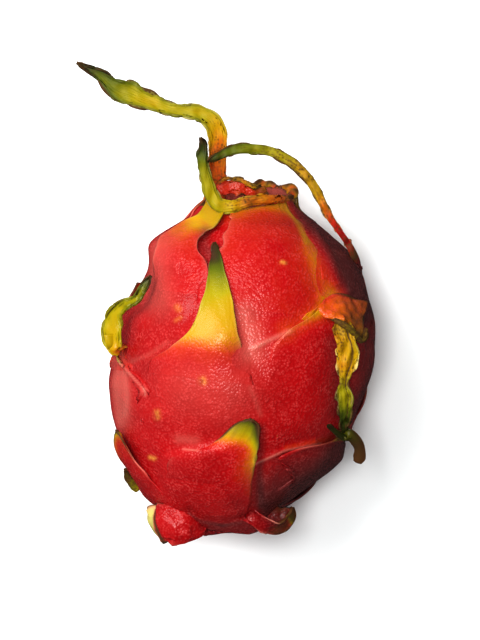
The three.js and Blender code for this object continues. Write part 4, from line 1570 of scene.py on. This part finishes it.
class Links:
    """A node tree that is filled by short calls."""

    def __init__(self, tree: bpy.types.NodeTree) -> None:
        """Takes the tree to fill.

        Args:
            tree: The tree.
        """
        self.tree = tree

    def give(self, value: object, socket: bpy.types.NodeSocket) -> None:
        """Leads a value to a socket.

        Args:
            value: An output socket or a plain value.
            socket: The input socket.
        """
        if isinstance(value, bpy.types.NodeSocket):
            self.tree.links.new(value, socket)
        else:
            socket.default_value = value

    def add(self, kind: str, inputs: Optional[dict] = None, **settings: object) -> bpy.types.Node:
        """Adds a node.

        Args:
            kind: The node's type.
            inputs: Values or output sockets by input name or number.
            settings: The node's own settings.

        Returns:
            The node.
        """
        node = self.tree.nodes.new(kind)
        for name, value in settings.items():
            setattr(node, name, value)
        for key, value in (inputs or {}).items():
            self.give(value, node.inputs[key])
        return node

    def group(self, tree: bpy.types.NodeTree, inputs: dict) -> bpy.types.Node:
        """Adds a node group."""
        return self.add("ShaderNodeGroup", inputs, node_tree=tree)

    def attribute(self, name: str, output: str) -> bpy.types.NodeSocket:
        """A value that the mesh carries."""
        return self.add("ShaderNodeAttribute", attribute_name=name).outputs[output]

    def math(
        self, operation: str, first: object, second: object, clamp: bool = False
    ) -> bpy.types.NodeSocket:
        """A step between two values.

        Args:
            operation: What is done with them.
            first: The first value.
            second: The second value.
            clamp: Whether the result is kept between 0 and 1.

        Returns:
            The result.
        """
        node = self.add("ShaderNodeMath", {0: first, 1: second}, operation=operation, use_clamp=clamp)
        return node.outputs[0]

    def plus(self, first: object, second: object) -> bpy.types.NodeSocket:
        """The sum of two values."""
        return self.math("ADD", first, second)

    def minus(self, first: object, second: object) -> bpy.types.NodeSocket:
        """The difference of two values."""
        return self.math("SUBTRACT", first, second)

    def times(self, first: object, second: object) -> bpy.types.NodeSocket:
        """The product of two values."""
        return self.math("MULTIPLY", first, second)

    def blend(self, share: object, first: object, second: object) -> bpy.types.NodeSocket:
        """A mix of two colours.

        Args:
            share: The second colour's share.
            first: The first colour.
            second: The second colour.

        Returns:
            The mixed colour.
        """
        node = self.add("ShaderNodeMix", data_type="RGBA")
        for key, value in ((0, share), (6, first), (7, second)):
            self.give(value, node.inputs[key])
        return node.outputs[2]

    def rise(self, value: object, low: float, high: float) -> bpy.types.NodeSocket:
        """A smooth rise from 0 at low to 1 at high.

        Args:
            value: What is read.
            low: Where the rise starts.
            high: Where the rise ends.

        Returns:
            The share.
        """
        inputs = {"Value": value, "From Min": low, "From Max": high}
        node = self.add("ShaderNodeMapRange", inputs, interpolation_type="SMOOTHSTEP")
        return node.outputs["Result"]

    def ramp(self, value: object, stops: ColourStops) -> bpy.types.NodeSocket:
        """Colours along a value.

        Args:
            value: The socket that is read.
            stops: Places and their colours.

        Returns:
            The colour socket.
        """
        node = self.add("ShaderNodeValToRGB", {"Fac": value})
        elements = node.color_ramp.elements
        while len(elements) < len(stops):
            elements.new(0.5)
        for element, (place, colour) in zip(elements, stops):
            element.position = place
            element.color = (*colour, 1.0)
        return node.outputs["Color"]


class Group(Links):
    """A shader node group that reads places in space and some values."""

    def __init__(self, name: str, takes: dict[str, float], gives: dict[str, str]) -> None:
        """Starts the group.

        Args:
            name: The group's name.
            takes: Names and default values of what it reads besides the places.
            gives: Names of its outputs with their socket types.
        """
        super().__init__(bpy.data.node_groups.new(name, "ShaderNodeTree"))
        self.tree.interface.new_socket(name="Vector", in_out="INPUT", socket_type="NodeSocketVector")
        for label, value in takes.items():
            socket = self.tree.interface.new_socket(name=label, in_out="INPUT", socket_type=NUMBER)
            socket.default_value = value
        for label, kind in gives.items():
            self.tree.interface.new_socket(name=label, in_out="OUTPUT", socket_type=kind)
        self.entry = self.add("NodeGroupInput").outputs
        self.leave = self.add("NodeGroupOutput").inputs

    def noise(self, place: object, scale: object, detail: float, **more: float) -> bpy.types.Node:
        """A cloudy noise.

        Args:
            place: Where it is read.
            scale: How fine it is.
            detail: How many finer layers it has.
            more: Its other inputs.

        Returns:
            The noise node.
        """
        return self.add("ShaderNodeTexNoise", {"Vector": place, "Scale": scale, "Detail": detail, **more})

    def finish(self, **values: bpy.types.NodeSocket) -> bpy.types.NodeTree:
        """Leads values to the outputs.

        Args:
            values: What each output gives.

        Returns:
            The group's tree.
        """
        for label, value in values.items():
            self.give(value, self.leave[label])
        return self.tree


class SkinEffects:
    """The effects that the fruit's materials share, each a node group built once."""

    RIPENING: ColourStops = (
        (0.0, (0.07, 0.002, 0.006)), (0.16, (0.20, 0.003, 0.005)), (0.28, (0.355, 0.004, 0.006)),
        (0.38, (0.41, 0.03, 0.006)), (0.46, (0.44, 0.11, 0.004)), (0.56, (0.43, 0.245, 0.002)),
        (0.68, (0.31, 0.26, 0.003)), (0.82, (0.105, 0.125, 0.003)), (0.92, (0.030, 0.044, 0.004)),
        (1.0, (0.022, 0.014, 0.005)),
    )

    def __init__(self) -> None:
        """Builds the groups."""
        self.pebble = self._pebble()
        self.ripeness = self._ripeness()
        self.fibres = self._fibres()
        self.scars = self._scars()

    @staticmethod
    def _pebble() -> bpy.types.NodeTree:
        """The fine pebbles of the peel.

        Returns:
            A group that gives their height and the amount of their pinkish flecks.
        """
        group = Group("pebble", {"Scale": 1400.0}, {"Height": NUMBER, "Fleck": NUMBER})
        cells = group.add(
            "ShaderNodeTexVoronoi",
            {"Vector": group.entry["Vector"], "Scale": group.entry["Scale"], "Smoothness": 0.6},
            feature="SMOOTH_F1",
        )
        cloud = group.noise(group.entry["Vector"], 260.0, 3.0).outputs["Fac"]
        dome = group.minus(1.0, cells.outputs["Distance"])
        spread = group.plus(group.times(group.rise(cloud, 0.35, 0.7), 0.7), 0.3)
        return group.finish(
            Height=group.times(dome, group.rise(cloud, 0.1, 0.6)),
            Fleck=group.times(group.rise(dome, 0.35, 0.85), spread),
        )

    @classmethod
    def _ripeness(cls) -> bpy.types.NodeTree:
        """The colour of the peel from its tone.

        Returns:
            A group that gives the colour and the tone that a broad cloud has swayed.
        """
        group = Group("ripeness", {"Tone": 0.3, "Cloud": 0.1}, {"Color": "NodeSocketColor", "Tone": NUMBER})
        broad = group.noise(group.entry["Vector"], 70.0, 5.0, Roughness=0.6).outputs["Fac"]
        swing = group.times(group.minus(broad, 0.5), group.entry["Cloud"])
        tone = group.math("ADD", group.entry["Tone"], group.times(swing, 2.0), clamp=True)
        return group.finish(Color=group.ramp(tone, cls.RIPENING), Tone=tone)

    @staticmethod
    def _fibres() -> bpy.types.NodeTree:
        """Fine fibres that run along a sheet.

        Returns:
            A group that gives their height and the amount of their dark streaks.
        """
        group = Group("fibres", {"Scale": 900.0}, {"Height": NUMBER, "Streak": NUMBER})
        drawn = group.add("ShaderNodeMapping", {"Vector": group.entry["Vector"], "Scale": (1.0, 0.12, 1.0)})
        noise = group.noise(drawn.outputs["Vector"], group.entry["Scale"], 4.0).outputs["Fac"]
        return group.finish(Height=noise, Streak=group.rise(noise, 0.45, 0.65))

    @staticmethod
    def _scars() -> bpy.types.NodeTree:
        """Few small corky scars.

        Returns:
            A group that gives a mask.
        """
        group = Group("scars", {"Scale": 55.0}, {"Mask": NUMBER})
        bent = group.noise(group.entry["Vector"], 500.0, 2.0)
        bend = {0: bent.outputs["Color"], 1: (0.003, 0.003, 0.003)}
        shifted = group.add("ShaderNodeVectorMath", bend, operation="MULTIPLY")
        moved = {0: group.entry["Vector"], 1: shifted.outputs[0]}
        place = group.add("ShaderNodeVectorMath", moved, operation="ADD")
        cells = group.add(
            "ShaderNodeTexVoronoi",
            {"Vector": place.outputs[0], "Scale": group.entry["Scale"], "Randomness": 1.0},
        )
        chosen = group.add("ShaderNodeSeparateColor", {"Color": cells.outputs["Color"]})
        few = group.math("GREATER_THAN", chosen.outputs[0], 0.8)
        size = group.plus(group.times(chosen.outputs[1], 0.06), 0.02)
        spot = group.math("LESS_THAN", cells.outputs["Distance"], size)
        return group.finish(Mask=group.times(few, spot))


class Coat:
    """A new material for the fruit, with the values that it reads from the mesh."""

    def __init__(self, name: str, ripeness: bpy.types.NodeTree, cloud: float) -> None:
        """Starts the material.

        Args:
            name: The material's name.
            ripeness: The group that gives the peel's colour from its tone.
            cloud: How far the tone sways.
        """
        self.material = bpy.data.materials.new(name)
        self.material.use_nodes = True
        self.links = Links(self.material.node_tree)
        self.links.tree.nodes.clear()
        self.place = self.links.add("ShaderNodeTexCoord").outputs["Object"]
        self.sheet = self.links.attribute(SHEET, "Vector")
        self.read = {channel: self.links.attribute(channel.value, "Fac") for channel in Channel}
        inputs = {"Vector": self.place, "Tone": self.read[Channel.TONE], "Cloud": cloud}
        self.ripe = self.links.group(ripeness, inputs).outputs

    def finish(self, colour: object, rough: object, grain: object, depth: float) -> bpy.types.Material:
        """Ends the material in its shader.

        Args:
            colour: Its colour.
            rough: Its roughness.
            grain: Height of its grain, from 0 to 1.
            depth: Depth of the grain in metres.

        Returns:
            The material.
        """
        relief = {"Height": grain, "Strength": 1.0, "Distance": depth}
        normal = self.links.add("ShaderNodeBump", relief).outputs["Normal"]
        surface = {"Base Color": colour, "Roughness": rough, "Normal": normal, "IOR": WAX_IOR}
        shader = self.links.add("ShaderNodeBsdfPrincipled", surface)
        self.links.add("ShaderNodeOutputMaterial", {"Surface": shader.outputs["BSDF"]})
        return self.material


@dataclass(frozen=True)
class PeelFinish:
    """The waxy red peel of the body and of its fleshy scales."""

    effects: SkinEffects
    roughness: float = 0.27
    dry_roughness: float = 0.35
    cloud: float = 0.09
    pebble_scale: float = 1250.0
    fibre_scale: float = 420.0
    scar_scale: float = 55.0
    pebble_depth: float = 0.00024
    fleck_amount: float = 0.44
    scar_amount: float = 0.6
    leafy_tone: tuple[float, float] = (0.45, 0.6)
    breaking: tuple[float, float] = (0.45, 0.95)
    pale_leaf: Colour = (0.48, 0.43, 0.14, 1.0)
    pale_flesh: Colour = (0.60, 0.27, 0.21, 1.0)
    fleck_colour: Colour = (0.57, 0.08, 0.075, 1.0)
    shade_colour: Colour = (0.095, 0.019, 0.019, 1.0)
    shaded_fleck: Colour = (0.26, 0.085, 0.08, 1.0)
    cork: Colour = (0.58, 0.26, 0.05, 1.0)
    dark_cork: Colour = (0.30, 0.07, 0.02, 1.0)
    dried: Colour = (0.085, 0.034, 0.010, 1.0)

    def material(self) -> bpy.types.Material:
        """Builds the material.

        Returns:
            The material.
        """
        coat = Coat("peel", self.effects.ripeness, self.cloud)
        links, read = coat.links, coat.read
        pebble = links.group(self.effects.pebble, {"Vector": coat.place, "Scale": self.pebble_scale}).outputs
        fibres = links.group(self.effects.fibres, {"Vector": coat.sheet, "Scale": self.fibre_scale}).outputs
        scars = links.group(self.effects.scars, {"Vector": coat.place, "Scale": self.scar_scale}).outputs
        fleshy = links.minus(1.0, links.rise(coat.ripe["Tone"], *self.leafy_tone))
        pebbled = links.plus(links.times(fleshy, 0.5), 0.2)
        fleck = links.times(links.times(pebble["Fleck"], self.fleck_amount), fleshy)
        # The pale channel mixes towards these colours: pale margins, cut faces and streaks of the peel, and
        # painted highlights and sheen
        pale_and_highlight_colour = links.blend(fleshy, self.pale_leaf, self.pale_flesh)
        lit = links.blend(read[Channel.PALE_AND_HIGHLIGHT], coat.ripe["Color"], pale_and_highlight_colour)
        lit = links.blend(fleck, lit, self.fleck_colour)
        dim = links.blend(fleck, self.shade_colour, self.shaded_fleck)
        colour = links.blend(read[Channel.SHADE], lit, dim)
        scarred = links.math("MAXIMUM", links.times(scars["Mask"], self.scar_amount), read[Channel.SCAR])
        cork = links.blend(fibres["Streak"], self.cork, self.dark_cork)
        colour = links.blend(scarred, colour, cork)
        uneven = links.times(fibres["Height"], 0.5)
        broken = links.rise(links.plus(read[Channel.DRY], uneven), *self.breaking)
        colour = links.blend(broken, colour, self.dried)
        rough = links.plus(links.times(broken, self.dry_roughness), self.roughness)
        grain = links.plus(links.times(pebble["Height"], pebbled), uneven)
        return coat.finish(colour, rough, grain, self.pebble_depth)


@dataclass(frozen=True)
class LeafFinish:
    """The thin leafy ends of scales and the crown's bracts, green to brown and dry at the margins."""

    effects: SkinEffects
    roughness: float = 0.46
    dry_roughness: float = 0.3
    cloud: float = 0.2
    fibre_scale: float = 2300.0
    speckle_scale: float = 1050.0
    fibre_depth: float = 0.00025
    streak_amount: float = 0.15
    breaking: tuple[float, float] = (0.5, 1.0)
    pale: Colour = (0.72, 0.58, 0.25, 1.0)
    streak_colour: Colour = (0.12, 0.09, 0.012, 1.0)
    shade_colour: Colour = (0.105, 0.022, 0.021, 1.0)
    dried: Colour = (0.080, 0.038, 0.009, 1.0)

    def material(self) -> bpy.types.Material:
        """Builds the material.

        Returns:
            The material.
        """
        coat = Coat("leaf", self.effects.ripeness, self.cloud)
        links, read = coat.links, coat.read
        fibres = links.group(self.effects.fibres, {"Vector": coat.sheet, "Scale": self.fibre_scale}).outputs
        speckles = {"Vector": coat.place, "Scale": self.speckle_scale}
        speckle = links.group(self.effects.pebble, speckles).outputs
        colour = links.blend(read[Channel.PALE_AND_HIGHLIGHT], coat.ripe["Color"], self.pale)
        colour = links.blend(links.times(fibres["Streak"], self.streak_amount), colour, self.streak_colour)
        colour = links.blend(read[Channel.SHADE], colour, self.shade_colour)
        uneven = links.plus(links.times(fibres["Height"], 0.42), links.times(speckle["Fleck"], 0.28))
        broken = links.rise(links.plus(read[Channel.DRY], uneven), *self.breaking)
        colour = links.blend(broken, colour, self.dried)
        rough = links.plus(links.times(broken, self.dry_roughness), self.roughness)
        return coat.finish(colour, rough, fibres["Height"], self.fibre_depth)


@dataclass(frozen=True)
class Lamp:
    """A soft square light that is aimed at the fruit."""

    name: str
    energy: float
    size: float
    place: tuple[float, float, float]


@dataclass
class Studio:
    """A plain pale floor, soft lights and a camera that looks straight down. Lengths are in metres."""

    camera_distance: float = 2.4
    pixels_per_mm: float = 3.0
    frame_height: float = 640.0
    focus_height: float = 0.041
    centre_x: float = 0.00467
    centre_y: float = -0.00483
    floor_reach: float = 4.0
    floor_colour: Colour = (0.845, 0.875, 0.89, 1.0)
    aim: tuple[float, float, float] = (0.0, 0.0, 0.03)
    light_colour: tuple[float, float, float] = (1.0, 0.985, 0.965)
    lamps: tuple[Lamp, ...] = (
        Lamp(name="top", energy=24.0, size=0.42, place=(-0.06, 0.0, 1.7)),
        Lamp(name="key", energy=26.0, size=0.9, place=(-0.72, 0.5, 1.28)),
    )
    brightest_side: tuple[float, float, float] = (-0.6, 0.4, 0.5)
    least_surround: float = 0.05
    side_surround: float = 0.65
    gamma: float = 0.8

    def build(self) -> None:
        """Makes the camera, the floor, the lamps and the surround."""
        self._camera()
        self._floor()
        self._lamps()
        self._surround()

    def _camera(self) -> None:
        """A long lens far above, so that the picture is close to a plan."""
        camera = bpy.data.cameras.new("camera")
        seen = self.frame_height / self.pixels_per_mm * MM
        camera.lens = camera.sensor_width * self.camera_distance / seen
        camera.clip_end = 20.0
        thing = bpy.data.objects.new("camera", camera)
        thing.location = (self.centre_x, self.centre_y, self.focus_height + self.camera_distance)
        bpy.context.scene.collection.objects.link(thing)
        bpy.context.scene.camera = thing

    def _floor(self) -> None:
        """A wide pale table top."""
        mesh = bpy.data.meshes.new("floor")
        reach = self.floor_reach
        corners = [(-reach, -reach, 0), (reach, -reach, 0), (reach, reach, 0), (-reach, reach, 0)]
        mesh.from_pydata(corners, [], [(0, 1, 2, 3)])
        floor = bpy.data.objects.new("floor", mesh)
        bpy.context.scene.collection.objects.link(floor)
        material = bpy.data.materials.new("floor")
        material.use_nodes = True
        shader = material.node_tree.nodes["Principled BSDF"]
        shader.inputs["Base Color"].default_value = self.floor_colour
        shader.inputs["Roughness"].default_value = 0.9
        shader.inputs["Specular IOR Level"].default_value = 0.1
        mesh.materials.append(material)
        floor.visible_glossy = False

    def _lamps(self) -> None:
        """A broad soft key from the upper left and a smaller lamp above."""
        for lamp in self.lamps:
            light = bpy.data.lights.new(lamp.name, "AREA")
            light.energy = lamp.energy
            light.size = lamp.size
            light.color = self.light_colour
            thing = bpy.data.objects.new(lamp.name, light)
            thing.location = lamp.place
            towards = Vector(self.aim) - Vector(lamp.place)
            thing.rotation_euler = towards.to_track_quat("-Z", "Y").to_euler()
            bpy.context.scene.collection.objects.link(thing)

    def _surround(self) -> None:
        """An even pale surround that is brighter on one side."""
        world = bpy.data.worlds.new("surround")
        world.use_nodes = True
        links = Links(world.node_tree)
        place = links.add("ShaderNodeTexCoord").outputs["Generated"]
        sides = {0: place, 1: self.brightest_side}
        towards = links.add("ShaderNodeVectorMath", sides, operation="DOT_PRODUCT").outputs["Value"]
        side = links.times(links.rise(towards, -0.15, 0.85), self.side_surround)
        strength = links.plus(side, self.least_surround)
        background = world.node_tree.nodes["Background"].inputs
        background["Color"].default_value = (1.0, 1.0, 1.0, 1.0)
        links.give(strength, background["Strength"])
        bpy.context.scene.world = world
        view = bpy.context.scene.view_settings
        view.view_transform = "Standard"
        view.look = "None"
        view.gamma = self.gamma


class DragonFruit:
    """The whole fruit: the body's skin and every scale on it."""

    def __init__(self) -> None:
        """Lays out the scales and the swellings under them."""
        self.form = BodyForm()
        self.scales = [*VISIBLE_SCALES, *back_scales()]
        for scale in self.scales:
            if scale.shoulder is not None:
                self.form.raise_under(scale)

    def build(self) -> None:
        """Makes every piece, dresses it and lets it ride on the fruit's body."""
        effects = SkinEffects()
        finishes = {
            Wear.FLESHY: PeelFinish(effects).material(),
            Wear.LEAFY: LeafFinish(effects).material(),
        }
        skin = BodySkin(self.form).build()
        self._dress(skin, finishes[Wear.FLESHY])
        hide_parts(CAD_NODE)
        self._dress(CrownCrust(self.form).build(), finishes[Wear.FLESHY])
        for scale in self.scales:
            piece = ScaleSheet(self.form, scale).build()
            self._dress(piece, finishes[scale.wear])

    @staticmethod
    def _dress(piece: bpy.types.Object, material: bpy.types.Material) -> None:
        """Gives a piece its material and the body that it rides on.

        Args:
            piece: The piece.
            material: Its material.
        """
        piece.data.materials.append(material)
        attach(piece, CAD_BODY)
        LOG.info("%s: %d faces", piece.name, len(piece.data.polygons))


def main() -> None:
    """Builds the studio and the fruit."""
    logging.basicConfig(level=logging.INFO)
    Studio().build()
    DragonFruit().build()


if __name__ == "__main__":
    main()
